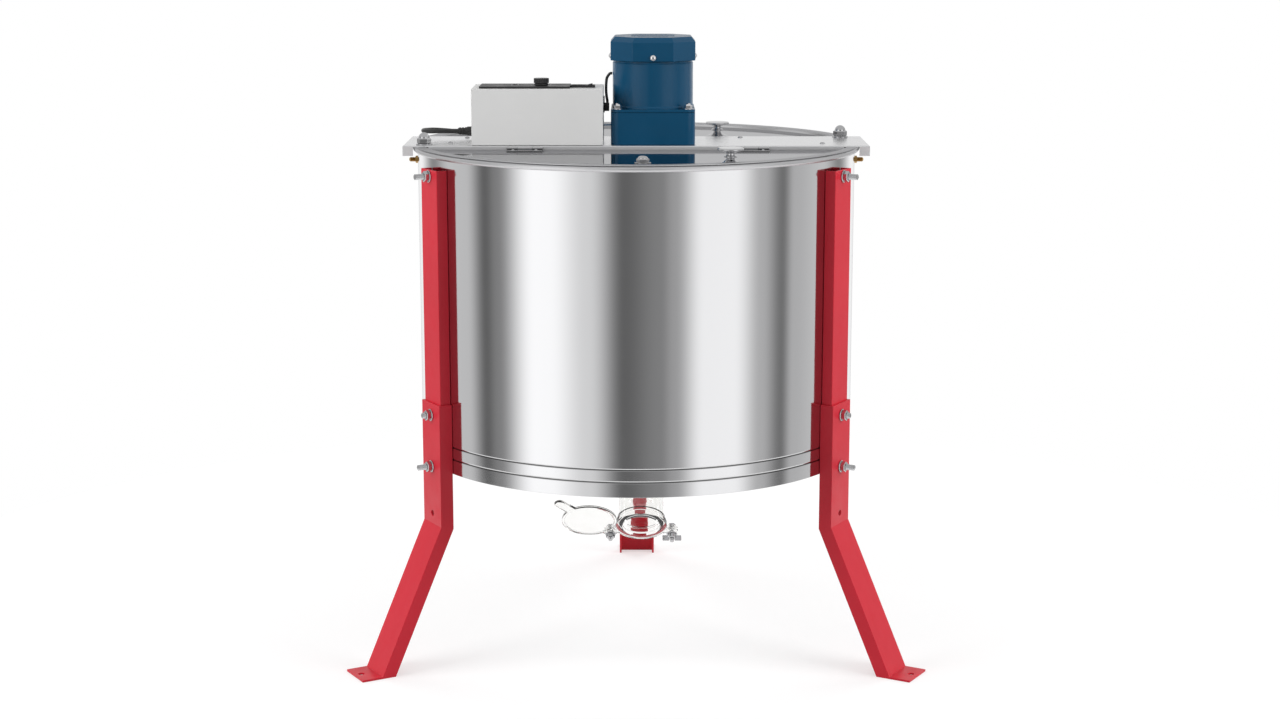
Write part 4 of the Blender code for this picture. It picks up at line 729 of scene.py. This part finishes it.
def makeDrum():
    r = drum["radius"]
    inside = r - drum["wall"]
    tube = drum["rimTube"]
    middle = inside + tube
    profile = []
    for turn in np.linspace(math.pi, -math.acos((r - middle) / tube), 26):
        profile.append((middle + tube * math.cos(turn), -tube + tube * math.sin(turn)))
    for rise in drum["grooveRises"]:
        for share in np.linspace(1, -1, 11):
            dip = drum["grooveDepth"] * 0.5 * (1 + math.cos(math.pi * share))
            profile.append((r - dip, rise - drum["height"] + drum["grooveHalf"] * share))
    profile += [(r, 0.0004 - drum["height"]), (r - 0.0004, -drum["height"]), (inside, -drum["height"])]
    floorToRim = rimFrame.translation.z
    heights = [floorToRim - drum["height"] + rise for rise in drum["grooveRises"]]
    # painted shade: the drum shell's colour darkens to 0.10 grey along both grooves
    paintGrooveShade(drumSteel, heights, 0.6 * drum["grooveHalf"], (0.10, 0.10, 0.10))
    finishPiece("drumShell", spun(profile, drum["steps"], True), drumSteel, "base", "bright_steel", "drum_shell")

    low = bottom["landTop"] + bottom["depth"]
    high = low + bottom["skirt"]
    sheet, land, r = bottom["sheet"], bottom["landTop"], bottom["skirtRadius"]

    def ring(x, y, z, radius):
        return Matrix.Translation((x, y, z)), radius

    outlet = bottom["outlet"]
    rings = [ring(0, 0, high, r), ring(0, 0, low + 0.0006, r), ring(0, 0, low - sheet, r - 0.0025),
             ring(*outlet, land - sheet, bottom["landRadius"]), ring(*outlet, land - sheet, bottom["holeRadius"]),
             ring(*outlet, land, bottom["holeRadius"]), ring(*outlet, land, bottom["landRadius"]),
             ring(0, 0, low, r - sheet - 0.0015), ring(0, 0, low + 0.0015, r - sheet), ring(0, 0, high, r - sheet)]
    finishPiece("drumBottom", loft(rings, 160), sheetSteel, "base", "steel", "drum_bottom")
    print("drum made")


makeDrum()


# Legs and their bolts

leg = {"boltRadius": 0.004, "stick": 0.021, "topDrop": 0.030, "midDrop": 0.361, "jointDrop": 0.434,
       "topInner": 0.3076, "upperFace": 0.3253, "lowInner": 0.3217, "lowFace": 0.3286}


def makeLegs():
    r = leg["boltRadius"]
    for side, turn in legTurns.items():
        for part in ("upper", "lower"):
            node = part + "_leg_" + side
            finishPiece(part + "Leg." + side, softened(node, 0.0009), redPaint, "base", "red_paint", node,
                        inRim=False)
        bolts = (("topBolt", leg["topDrop"], leg["topInner"], leg["upperFace"], leg["stick"],
                  ["leg_top_bolt_" + side]),
                 ("jointBolt", leg["jointDrop"], leg["lowInner"], leg["lowFace"], leg["stick"],
                  ["leg_joint_bolt_" + side]),
                 ("midBolt", leg["midDrop"], leg["lowFace"], leg["lowFace"], 0.013, []))
        for name, drop, inner, face, stick, replaced in bolts:
            parts = [("round", 2.1 * r, face, face + 0.0016), ("hex", 1.9 * r, face + 0.0016, face + 0.0082),
                     ("thread", r, face + 0.0082, face + stick)]
            if replaced:
                parts += [("dome", 1.7 * r, inner, inner - 0.004), ("round", r, inner, face)]
            lie = (Matrix.Rotation(math.radians(turn), 4, "Z") @ Matrix.Translation((0, 0, -drop))
                   @ Matrix.Rotation(math.pi / 2, 4, "Y"))
            bolt = moved(fastener(*parts), lie)
            bmesh.ops.recalc_face_normals(bolt, faces=bolt.faces)
            finishPiece(name + "." + side, bolt, boltSteel, "base", "steel", *replaced)
    print("legs made")


makeLegs()


# Top bar, its screws and its dome nuts

bar = {"top": 0.0023, "fold": 0.0016, "screwDrop": 0.024, "screwRadius": 0.0025, "screwInner": 0.3053,
       "drumFace": 0.3103, "screwEnd": 0.324, "nuts": ((-0.297, -0.055), (0.295, 0.057)),
       "rivets": ((-0.262, -0.030), (-0.244, 0.044), (0.150, 0.050), (0.262, -0.038))}


def makeBar():
    sheet = plainCopy("crossbar")
    high = rimFrame.translation.z + 0.5 * bar["top"]
    folds = [edge for edge in sheet.edges if edge.calc_length() > 0.1 and edge.is_manifold
             and min(vert.co.z for vert in edge.verts) > high and edge.calc_face_angle(0) > 1]
    bmesh.ops.bevel(sheet, geom=folds, offset=bar["fold"], segments=5, profile=0.5, affect="EDGES", material=-1)
    finishPiece("topBar", bevelled(sheet, 0.0004), barSteel, "base", "steel", "crossbar", inRim=False)
    r = bar["screwRadius"]
    for side, turn in (("left", math.pi), ("right", 0)):
        face = bar["drumFace"]
        screw = fastener(("hex", 2 * r, bar["screwInner"] - 0.004, bar["screwInner"]),
                         ("round", r, bar["screwInner"], face), ("hex", 2.1 * r, face, face + 0.0045),
                         ("thread", 1.35 * r, face + 0.0045, bar["screwEnd"] - 0.002),
                         ("dome", 1.2 * r, bar["screwEnd"] - 0.002, bar["screwEnd"]))
        lie = (Matrix.Rotation(turn, 4, "Z") @ Matrix.Translation((0, 0, -bar["screwDrop"]))
               @ Matrix.Rotation(math.pi / 2, 4, "Y"))
        finishPiece("barScrew." + side, moved(screw, lie), brassMetal, "base", "brass", "bar_screw_" + side)
    z = bar["top"]
    for count, (x, y) in enumerate(bar["nuts"]):
        nut = fastener(("round", 0.0115, z, z + 0.0016), ("hex", 0.0100, z + 0.0016, z + 0.0095),
                       ("dome", 0.0078, z + 0.0095, z + 0.0172))
        finishPiece("domeNut." + str(count), moved(nut, Matrix.Translation((x, y, 0))), boltSteel, "base", "steel")
    for count, (x, y) in enumerate(bar["rivets"]):
        rivet = fastener(("dome", 0.0038, z, z + 0.0022))
        finishPiece("rivet." + str(count), moved(rivet, Matrix.Translation((x, y, 0))), boltSteel, "base", "steel")
    print("bar made")


makeBar()


# Lids with their hinges and knobs

lid = {"radius": 0.3165, "dishRadius": 0.3015, "dish": 0.0035, "sheet": 0.0012, "gap": 0.0003, "edge": 0.0725,
       "corner": 0.002, "wallInside": 0.3088}
hinge = {"y": 0.0745, "drop": 0.001, "pin": 0.0012, "knuckle": 0.0026, "length": 0.050, "leaf": 0.0012,
         "barFace": 0.0703, "lipDrop": 0.014}
lids = {"front": (-1, (-0.155, 0.160), (0.1245, -0.255)), "rear": (1, (-0.262, 0.152), (0.1195, 0.128))}
knob = {"height": 0.022}


def makeLid(name, toward, hingeXs, knobPlace):
    body = name + "_lid"
    gap, sheet, r, dishR = lid["gap"], lid["sheet"], lid["radius"], lid["dishRadius"]
    top = -lid["dish"]
    low = top - sheet
    rise = sheet + gap
    outline = [(0, top), (dishR, top), (dishR + 0.0015, rise), (r, rise), (r, gap), (dishR + 0.0028, gap),
               (dishR + 0.0012, low), (0, low)]
    bm = spun(eased(outline, 0.0007), 224)
    bmesh.ops.bisect_plane(bm, geom=list(bm.verts) + list(bm.edges) + list(bm.faces), dist=1e-7,
                           plane_co=(0, toward * lid["edge"], 0), plane_no=(0, -toward, 0), clear_outer=True)
    bmesh.ops.holes_fill(bm, edges=[edge for edge in bm.edges if edge.is_boundary])
    bmesh.ops.recalc_face_normals(bm, faces=bm.faces)
    half = hinge["length"] / 2
    notchEnd = hinge["y"] + hinge["knuckle"] + 0.0009
    corner = math.sqrt(lid["wallInside"] ** 2 - hinge["y"] ** 2) - 0.003
    start = lid["edge"] - 0.01
    deep = (-0.012, 0.006)
    notches = [block((side * corner, side * (r + 0.01)), (toward * start, toward * (hinge["y"] + lid["corner"])), deep)
               for side in (-1, 1)]
    notches += [block((x - half - 0.001, x + half + 0.001), (toward * start, toward * notchEnd), deep)
                for x in hingeXs]
    bm = combined(bm, merged(*notches), "DIFFERENCE")
    finishPiece("lid." + name, bm, lidSteel, body, "bright_steel", "lid_" + name)

    third = 0.4 * half
    r = hinge["knuckle"]
    for count, x in enumerate(hingeXs):
        lie = Matrix.Translation((x, toward * hinge["y"], -hinge["drop"])) @ Matrix.Rotation(math.pi / 2, 4, "Y")
        fixed = [moved(fastener(("round", r, -half, -third), ("round", hinge["pin"], -half - 0.0005, half + 0.0005),
                                ("round", r, third, half)), lie)]
        y = (toward * hinge["barFace"], toward * (hinge["barFace"] + hinge["leaf"]))
        fixed.append(block((x - half + 0.0005, x + half - 0.0005), y,
                           (0.001 - hinge["lipDrop"], 0.0008 - hinge["drop"]), 0.0003))
        web = (y[0], toward * hinge["y"])
        webZ = (-hinge["drop"] - 0.0008, -hinge["drop"] + 0.0008)
        fixed += [block(sorted((x + side * (third + 0.001), x + side * (half - 0.001))), web, webZ, 0.0003)
                  for side in (-1, 1)]
        place = "hinge_" + name + ("_left", "_right")[count]
        finishPiece("hingeLeaf." + name + "." + str(count), merged(*fixed), boltSteel, "base", "steel", place)

        leafZ = (low + sheet / 2, top + hinge["leaf"] + gap)
        clear = third - gap
        moving = [block((x - half, x + half), (toward * (notchEnd + gap), toward * (notchEnd + 0.017)), leafZ, 0.0003),
                  block((x - clear, x + clear), (toward * (hinge["y"] + 0.65 * r), toward * (notchEnd + 0.003)),
                        leafZ, 0.0003),
                  moved(spun([(hinge["pin"] + gap, -clear), (r, -clear), (r, clear), (hinge["pin"] + gap, clear)],
                             28, True), lie)]
        for side in (-1, 1):
            rivet = fastener(("dome", 0.0022, leafZ[1], leafZ[1] + 0.0012))
            moving.append(moved(rivet, Matrix.Translation((x + side * 0.016, toward * (notchEnd + 0.010), 0))))
        finishPiece("lidLeaf." + name + "." + str(count), merged(*moving), lidSteel, body, "bright_steel")

    base = top + gap
    h = knob["height"]
    outline = [(0, 0), (0.0145, 0), (0.0142, 0.0012), (0.0090, 0.0035), (0.0055, 0.0065), (0.0055, 0.0078),
               (0.0085, 0.0088), (0.0085, 0.0104), (0.0055, 0.0116), (0.0055, 0.0145), (0.0100, 0.0165),
               (0.0170, 0.0180), (0.0178, 0.0196), (0.0165, h - 0.0008), (0, h)]
    grip = spun(eased(outline, 0.0012, 5), 64)
    moved(grip, Matrix.Translation((*knobPlace, base)))
    finishPiece("knob." + name, grip, mirrorSteel, body, "bright_steel", "lid_knob_" + name)


for name, (toward, hingeXs, knobPlace) in lids.items():
    makeLid(name, toward, hingeXs, knobPlace)
lidBolt = fastener(("round", 0.0110, -0.0035, -0.0021), ("hex", 0.0088, -0.0021, 0.0026),
                   ("dome", 0.0068, 0.0026, 0.0068))
finishPiece("lidBolt", moved(lidBolt, Matrix.Translation((0.009, -0.241, 0))), boltSteel, "front_lid", "steel")
print("lids made")


# Drive: gearbox, motor and fan cover

drive = {"x": 0.0235, "half": 0.059, "corner": 0.012, "base": 0.0026, "boxTop": 0.047, "wall": 0.006,
         "floor": 0.004, "shaft": 0.0083, "flange": 0.0473, "flangeTop": 0.0513, "motorRadius": 0.0568,
         "motorBore": 0.0495, "motorTop": 0.1175, "motorFloor": 0.0573, "rotorHole": 0.0053, "screwZ": 0.123,
         "coverHalf": 0.0595}


def makeDrive():
    x, half = drive["x"], drive["half"]
    atMotor = Matrix.Translation((x, 0, 0))
    case = prism(roundedOutline(half, half, drive["corner"]), drive["base"], drive["boxTop"], 0.0018)
    inner = half - drive["wall"]
    room = prism(roundedOutline(inner, inner, drive["corner"] - 0.003), drive["base"] + drive["floor"], 0.06)
    case = combined(case, room, "DIFFERENCE")
    case = combined(moved(case, atMotor), spun([(0, -0.01), (drive["shaft"], -0.01), (drive["shaft"], 0.012),
                                                (0, 0.012)], 40), "DIFFERENCE")
    finishPiece("gearCase", case, bluePaint, "base", "blue_paint", "gearbox")

    r, top = drive["motorRadius"], drive["motorTop"]
    plate = prism(roundedOutline(half, half, drive["corner"]), drive["flange"], drive["flangeTop"], 0.0008)
    low = drive["flange"] + 0.001
    can = [(0, low), (r + 0.001, low), (r + 0.001, drive["flangeTop"] + 0.002), (r, drive["flangeTop"] + 0.004),
           (r, top - 0.0035), (r - 0.0008, top - 0.003), (r - 0.0008, top), (0, top)]
    body = combined(plate, spun(eased(can, 0.0008), 128), "UNION")
    room = [(0, drive["motorFloor"]), (drive["motorBore"], drive["motorFloor"]), (drive["motorBore"], 0.13), (0, 0.13)]
    body = combined(body, spun(room, 96), "DIFFERENCE")
    hole = drive["rotorHole"]
    body = combined(body, spun([(0, 0.03), (hole, 0.03), (hole, 0.07), (0, 0.07)], 40), "DIFFERENCE")
    finishPiece("motorCan", moved(body, atMotor), bluePaint, "base", "blue_paint", "motor_body")
    finishPiece("fanCover", softened("fan_cover", 0.0010), bluePaint, "base", "blue_paint", "fan_cover", inRim=False)

    z = drive["flangeTop"]
    corners = [(sideX, sideY) for sideX in (-1, 1) for sideY in (-1, 1)]
    for count, (sideX, sideY) in enumerate(corners):
        bolt = fastener(("round", 0.0072, z, z + 0.0012), ("hex", 0.0062, z + 0.0012, z + 0.0058),
                        ("dome", 0.0040, z + 0.0058, z + 0.0085))
        place = Matrix.Translation((x + sideX * 0.0490, sideY * 0.0485, 0))
        finishPiece("cornerBolt." + str(count), moved(bolt, place), zincSteel, "base", "steel")
    for count in range(4):
        screw = fastener(("dome", 0.0044, 0, 0.0026), ("hex", 0.0017, 0.0019, 0.0029))
        face = Matrix.Translation((x, 0, drive["screwZ"])) @ Matrix.Rotation(count * math.pi / 2, 4, "Z")
        lie = face @ Matrix.Translation((drive["coverHalf"], 0, 0)) @ Matrix.Rotation(math.pi / 2, 4, "Y")
        finishPiece("coverScrew." + str(count), moved(screw, lie), zincSteel, "base", "steel")
    print("drive made")


makeDrive()


# Control box with its panel, dial, button, switch, gland and motor lead

box = {"top": 0.081, "panelTop": 0.0838, "dial": (-0.133, -0.035), "dialRadius": 0.011, "dialHeight": 0.0095,
       "stem": 0.003, "button": (-0.170, -0.035), "buttonRadius": 0.0035, "buttonRise": 0.0015,
       "switch": (-0.075, -0.035), "switchHalf": (0.0158, 0.0076), "gland": (-0.2295, -0.025, 0.0186), "glandRadius": 0.00765,
       "glandLength": 0.022, "right": -0.0461, "leadRadius": 0.002, "leadTop": 0.098, "hoodTop": 0.0565}


def panelText(word, size, x, y):
    data = bpy.data.curves.new("mark", "FONT")
    data.body = word
    data.size = size
    data.align_x = "CENTER"
    data.align_y = "CENTER"
    data.extrude = 0.00006
    mark = bpy.data.objects.new("mark", data)
    bpy.context.scene.collection.objects.link(mark)
    return moved(meshOf(mark), Matrix.Translation((x, y, box["panelTop"] + 0.00006)))


def makePanel():
    finishPiece("controlBox", softened("control_box", 0.0014, 3), greyPaint, "base", "grey_paint", "control_box",
                inRim=False)
    finishPiece("controlPanel", softened("control_panel", 0.0005), blackPlastic, "base", "black_plastic",
                "control_panel", inRim=False)
    x, y = box["dial"]
    z = box["panelTop"]
    marks = []
    for count in range(11):
        angle = math.radians(230 - 28 * count)
        tick = block((0.0128, 0.0128 + (0.0026 if count % 5 == 0 else 0.0016)), (-0.0003, 0.0003), (z, z + 0.00012))
        marks.append(moved(tick, Matrix.Translation((x, y, 0)) @ Matrix.Rotation(angle, 4, "Z")))
        if count % 5 == 0:
            marks.append(panelText(str(2 * count), 0.0040, x + 0.0182 * math.cos(angle), y + 0.0182 * math.sin(angle)))
    finishPiece("dialMarks", merged(*marks), printWhite, "base", "black_plastic")

    base = z + 0.0003
    r, h = box["dialRadius"], box["dialHeight"]
    skirt = spun(eased([(0, box["top"] - 0.010), (box["stem"], box["top"] - 0.010), (box["stem"], base),
                        (r - 0.0012, base), (r - 0.0012, base + 0.0018), (r - 0.0022, base + 0.0030),
                        (0, base + 0.0030)], 0.0004), 64)
    outline = []
    for angle in np.linspace(0, math.tau, 144, endpoint=False):
        wave = 0.5 + 0.5 * math.cos(18 * angle)
        rim = r - 0.0003 - 0.0007 * wave
        outline.append((rim * math.cos(angle), rim * math.sin(angle)))
    grip = prism(outline, base + 0.0030, base + h, 0.0005)
    finishPiece("dial", moved(merged(skirt, grip), Matrix.Translation((x, y, 0))), blackPlastic, "dial",
                "black_plastic", "speed_knob")
    pointer = block((0.003, r - 0.0028), (-0.0006, 0.0006), (base + h - 0.0002, base + h + 0.00015))
    turn = Matrix.Translation((x, y, 0)) @ Matrix.Rotation(math.radians(230), 4, "Z")
    finishPiece("dialPointer", moved(pointer, turn), printWhite, "dial", "black_plastic")

    x, y = box["button"]
    r = box["buttonRadius"]
    low, high = box["top"] + 0.0006, z + box["buttonRise"]
    push = spun(eased([(0, low), (r, low), (r, high), (0, high + 0.0001)], 0.0007), 40)
    finishPiece("pushButton", moved(push, Matrix.Translation((x, y, 0))), blackPlastic, "button", "black_plastic",
                "mode_button")
    collar = spun(eased([(r + 0.0005, z), (r + 0.0018, z), (r + 0.0015, z + 0.0006), (r + 0.0005, z + 0.0006)], 0.0002),
                  40, True)
    finishPiece("buttonCollar", moved(collar, Matrix.Translation((x, y, 0))), boltSteel, "base", "steel")
    finishPiece("rocker", softened("power_switch", 0.0006, 3), blackPlastic, "rocker", "black_plastic",
                "power_switch", inRim=False)
    x, y = box["switch"]
    halfX, halfY = box["switchHalf"]
    low, high = box["top"] + 0.0002, box["top"] + 0.0032
    bezel = prism(roundedOutline(halfX + 0.0016, halfY + 0.0016, 0.002, (x, y)), low, high, 0.0006)
    bezel = combined(bezel, block((x - halfX, x + halfX), (y - halfY, y + halfY), (low - 0.01, high + 0.01)),
                     "DIFFERENCE")
    finishPiece("rockerBezel", bezel, blackPlastic, "base", "black_plastic")
    finishPiece("grommet", softened("box_grommet", 0.0005), blackPlastic, "base", "black_plastic", "box_grommet",
                inRim=False)
    print("panel made")


def makeLeads():
    r = box["glandRadius"]
    profile = [(0, 0.0003), (r, 0.0003), (r, 0.0033), (r - 0.0012, 0.0038), (r - 0.0012, 0.0088), (r - 0.0020, 0.0093)]
    for i in range(3):
        rib = r - 0.0021 - 0.0002 * i
        low = 0.0003 + 0.004 * i
        profile += [(rib, low + 0.0095), (rib, low + 0.0120), (r - 0.0032, low + 0.0124), (r - 0.0032, low + 0.0132)]
    profile += [(r - 0.0030, box["glandLength"]), (0, box["glandLength"])]
    lie = Matrix.Translation(box["gland"]) @ Matrix.Rotation(-math.pi / 2, 4, "Y")
    finishPiece("cordGland", moved(spun(eased(profile, 0.0004), 40), lie), blackRubber, "base", "black_plastic",
                "cord_gland")
    start = drive["x"] - drive["motorRadius"] - 0.0006
    end = box["right"] + 0.005
    bow = box["right"] - 0.0003 + box["leadRadius"] + 0.0016
    top, hood = box["leadTop"], box["hoodTop"]
    route = [(start, 0, top), (start - 0.0028, 0, top), (start - 0.0054, 0, top - 0.0026),
             (start - 0.0078, 0, top - 0.0068), (bow + 0.0003, 0, top - 0.0130), (bow, 0, top - 0.019),
             (bow + 0.0001, 0, top - 0.026), (bow + 0.0008, 0, top - 0.033), (end, 0, hood + 0.003),
             (end, 0, hood + 0.0003)]
    lead = meshOf(tubeCurve("lead", smoothRoute(route, 0.0012), box["leadRadius"]))
    finishPiece("motorLead", lead, blackRubber, "base", "black_plastic", "motor_lead")
    print("leads made")


makePanel()
makeLeads()


# Honey gate: spout, ring nut, flap and bolts

gate = {"outlet": (0.007, -0.060), "landTop": -0.4715, "sheet": 0.0012, "neck": 0.008, "collar": 0.0037,
        "collarRadius": 0.040, "drop": 0.0159, "radius": 0.032, "bore": 0.027, "turnRadius": 0.045, "run": 0.0238,
        "tilt": math.radians(45), "flange": 0.0368, "ear": (0.044, -0.012), "earThick": 0.006, "bolt": 0.003,
        "nutRadius": 0.042, "flapRadius": 0.039, "flapThick": 0.004, "flapReach": 0.115,
        "flapOpen": math.radians(115.7), "gap": 0.0003}


def gateFrames():
    # placements down the spout's middle: the upright part, the bend and the sloping end
    x, y = gate["outlet"]
    under = gate["landTop"] - gate["sheet"] - gate["gap"]
    bendTop = under - gate["collar"] - gate["drop"]

    def upright(z, radius):
        return Matrix.Translation((x, y, z)) @ Matrix.Rotation(math.pi, 4, "X"), radius

    def turning(angle, radius):
        place = (x, y - gate["turnRadius"] * (1 - math.cos(angle)), bendTop - gate["turnRadius"] * math.sin(angle))
        return Matrix.Translation(place) @ Matrix.Rotation(math.pi - angle, 4, "X"), radius

    face = turning(gate["tilt"], 1)[0] @ Matrix.Translation((0, 0, gate["run"]))
    return under, upright, turning, face


def makeGate():
    under, upright, turning, face = gateFrames()
    r, bore, flange = gate["radius"], gate["bore"], gate["flange"]
    neckTop = gate["landTop"] + gate["neck"]
    collar = under - gate["collar"]
    bends = np.linspace(0, gate["tilt"], 13)

    def along(back, radius):
        return face @ Matrix.Translation((0, 0, -back)), radius

    rings = [upright(neckTop - 0.0005, r), upright(under, r), upright(under, gate["collarRadius"] - 0.0004),
             upright(under - 0.0004, gate["collarRadius"]), upright(collar + 0.0004, gate["collarRadius"]),
             upright(collar, gate["collarRadius"] - 0.0004), upright(collar, r)]
    rings += [turning(bend, r) for bend in bends]
    rings += [along(0.0170, r), along(0.0165, r + 0.0019), along(0.0145, r + 0.0019), along(0.0140, r),
              along(0.0085, r), along(0.0080, flange - 0.0005), along(0.0075, flange), along(0.0005, flange),
              along(0, flange - 0.0005), along(0, bore + 0.0005), along(0.0006, bore)]
    rings += [turning(bend, bore) for bend in bends[::-1]]
    rings += [upright(neckTop, bore), upright(neckTop, r - 0.0005)]
    spout = loft(rings, 72)
    earX, earY = gate["ear"]
    thick = gate["earThick"]
    ears, holes = [], []
    for side in (-1, 1):
        ears.append(block((side * 0.0305, side * earX), (earY - 0.008, earY + 0.008), (-thick, -0.0002), 0.0006))
        ears.append(moved(fastener(("round", 0.009, -thick - 0.0001, -0.0001)),
                          Matrix.Translation((side * earX, earY, 0))))
        holes.append(moved(fastener(("round", gate["bolt"] + gate["gap"], -0.02, 0.02)),
                           Matrix.Translation((side * earX, earY, 0))))
    for ear in ears:
        spout = combined(spout, moved(ear, face), "UNION")
    spout = combined(spout, moved(merged(*holes), face), "DIFFERENCE")
    finishPiece("gateSpout", spout, clearPlastic, "base", "gate_plastic", "gate_spout")

    x, y = gate["outlet"]
    low, high = gate["landTop"] + gate["gap"], gate["landTop"] + gate["neck"] - 0.001
    outer = gate["nutRadius"]
    nut = spun([(r + 0.0004, low), (outer, low), (outer, high), (r + 0.0004, high)], 64, True)
    lugs = [block((outer - 0.0005, outer + 0.0018), (-0.003, 0.003), (low, high), 0.0005) for i in range(8)]
    for i, lug in enumerate(lugs):
        moved(lug, Matrix.Rotation(i * math.tau / 8, 4, "Z"))
    finishPiece("gateNut", moved(merged(nut, *lugs), Matrix.Translation((x, y, 0))), blackPlastic, "base",
                "black_plastic", "gate_nut")

    reach = math.hypot(earX, earY)
    low, high = gate["gap"], gate["gap"] + gate["flapThick"]
    turn = Matrix.Rotation(math.atan2(-earY, earX) + gate["flapOpen"], 4, "Z")
    hang = face @ Matrix.Translation((-earX, earY, 0)) @ turn
    gripX = gate["flapReach"] - 0.008
    disc = moved(spun(eased([(0, low + 0.0006), (gate["flapRadius"] - 0.004, low + 0.0006),
                             (gate["flapRadius"] - 0.003, low), (gate["flapRadius"], low), (gate["flapRadius"], high),
                             (gate["flapRadius"] - 0.003, high), (gate["flapRadius"] - 0.004, high - 0.0006),
                             (0, high - 0.0006)], 0.0005), 96), Matrix.Translation((reach, 0, 0)))
    rimIn = gate["flapRadius"] - 0.0025
    flap = disc
    for span in ((0, reach - rimIn), (reach + rimIn, gripX)):
        stem = block(span, (-0.0078, 0.0078), (low + 0.0001, high - 0.0001), 0.0008)
        flap = combined(flap, stem, "UNION")
    for lugX, lugRadius in ((0, 0.0092), (gripX, 0.008)):
        lug = fastener(("round", lugRadius, low, high))
        flap = combined(flap, moved(lug, Matrix.Translation((lugX, 0, 0))), "UNION")
    flap = combined(flap, fastener(("round", gate["bolt"] + gate["gap"], -0.02, 0.02)), "DIFFERENCE")
    finishPiece("gateFlap", moved(flap, hang), clearPlastic, "flap", "gate_plastic", "gate_flap")

    r = gate["bolt"]
    front = high + gate["gap"]
    back = -thick - gate["gap"]
    shared = [("hex", 2 * r, back - 0.004, back), ("round", r, back, front), ("round", 2.6 * r, front, front + 0.0014)]
    pivot = fastener(*shared, ("hex", 2.1 * r, front + 0.0014, front + 0.007),
                     ("thread", r, front + 0.007, front + 0.011))
    finishPiece("pivotBolt", moved(pivot, face @ Matrix.Translation((-earX, earY, 0))), boltSteel, "base", "steel",
                "gate_pivot_bolt")
    lock = fastener(*shared, ("round", 2 * r, front + 0.0014, front + 0.008),
                    ("thread", r, front + 0.008, front + 0.013))
    wings = [block(sorted((side * 0.004, side * 0.0135)), (-0.0012, 0.0012), (front + 0.0030, front + 0.0115), 0.0008)
             for side in (-1, 1)]
    finishPiece("lockBolt", moved(merged(lock, *wings), face @ Matrix.Translation((earX, earY, 0))), boltSteel, "base",
                "steel", "gate_lock_bolt")
    print("gate made")


makeGate()


# Basket: shaft, two spoked rings and four rods

basket = {"radius": 0.286, "bar": 0.006, "hub": (0.032, 0.008), "inner": (0.072, 0.0025), "spokes": 8,
          "spoke": (0.0055, 0.004), "drops": {"top": 0.090, "bottom": 0.400}, "rod": 0.005, "shaft": 0.0125,
          "bore": 0.0083, "shaftTop": -0.024, "sink": -0.0585, "shoulder": -0.4114, "tip": -0.4234, "tipRadius": 0.008}


def makeBasket():
    r, wide = basket["shaft"], basket["bar"] / 2
    bore, top, sink, shoulder = basket["bore"], basket["shaftTop"], basket["sink"], basket["shoulder"]
    shaft = [(0, basket["tip"]), (basket["tipRadius"], basket["tip"]), (basket["tipRadius"], shoulder), (r, shoulder),
             (r, top), (bore, top), (bore, sink), (0, sink)]
    finishPiece("basketShaft", spun(eased(shaft, 0.0006), 48), plainSteel, "basket", "steel", "basket_shaft")

    def hoop(inner, outer, z, thick, steps):
        outline = [(inner, z - thick), (outer, z - thick), (outer, z + thick), (inner, z + thick)]
        return bevelled(spun(outline, steps, True), 0.0008)

    outer = basket["radius"]
    for name, drop in basket["drops"].items():
        hub, hubHalf = basket["hub"]
        inner, innerHalf = basket["inner"]
        parts = [hoop(outer - 2 * wide, outer, -drop, wide, 192), hoop(r + 0.0003, hub, -drop, hubHalf, 64),
                 hoop(inner - wide, inner + wide, -drop, innerHalf, 96)]
        start, end = r + 0.006, outer - wide
        for i in range(basket["spokes"]):
            wideY, thick = basket["spoke"]
            spoke = block((start, end), (-wideY / 2, wideY / 2), (-drop - thick / 2, -drop + thick / 2), 0.0005)
            parts.append(moved(spoke, Matrix.Rotation(math.tau * (i + 0.5) / basket["spokes"], 4, "Z")))
        finishPiece("basketRing." + name, merged(*parts), plainSteel, "basket", "steel", "basket_" + name + "_ring")
    low = -basket["drops"]["bottom"] + wide + 0.0003
    high = -basket["drops"]["top"] - wide - 0.0003
    away = outer - wide - 0.0022
    for i in range(4):
        angle = math.tau * (2 * i + 0.5) / basket["spokes"]
        rod = fastener(("round", basket["rod"], low, high))
        moved(rod, Matrix.Translation((away * math.cos(angle), away * math.sin(angle), 0)))
        finishPiece("basketRod." + str(i + 1), rod, plainSteel, "basket", "steel", "basket_rod_" + str(i + 1))
    print("basket made")


makeBasket()


# The CAD nodes that stay get their finishes

kept = {plainSteel: ("bottom_bridge", "output_shaft"),
        darkSteel: ("lower_bearing", "upper_bearing", "rotor", "output_gear"),
        copperWire: ("stator",), blackPlastic: ("fan",)}
for finish, nodes in kept.items():
    for node in nodes:
        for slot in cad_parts[node].material_slots:
            slot.material = finish

print("finishes on the kept nodes")
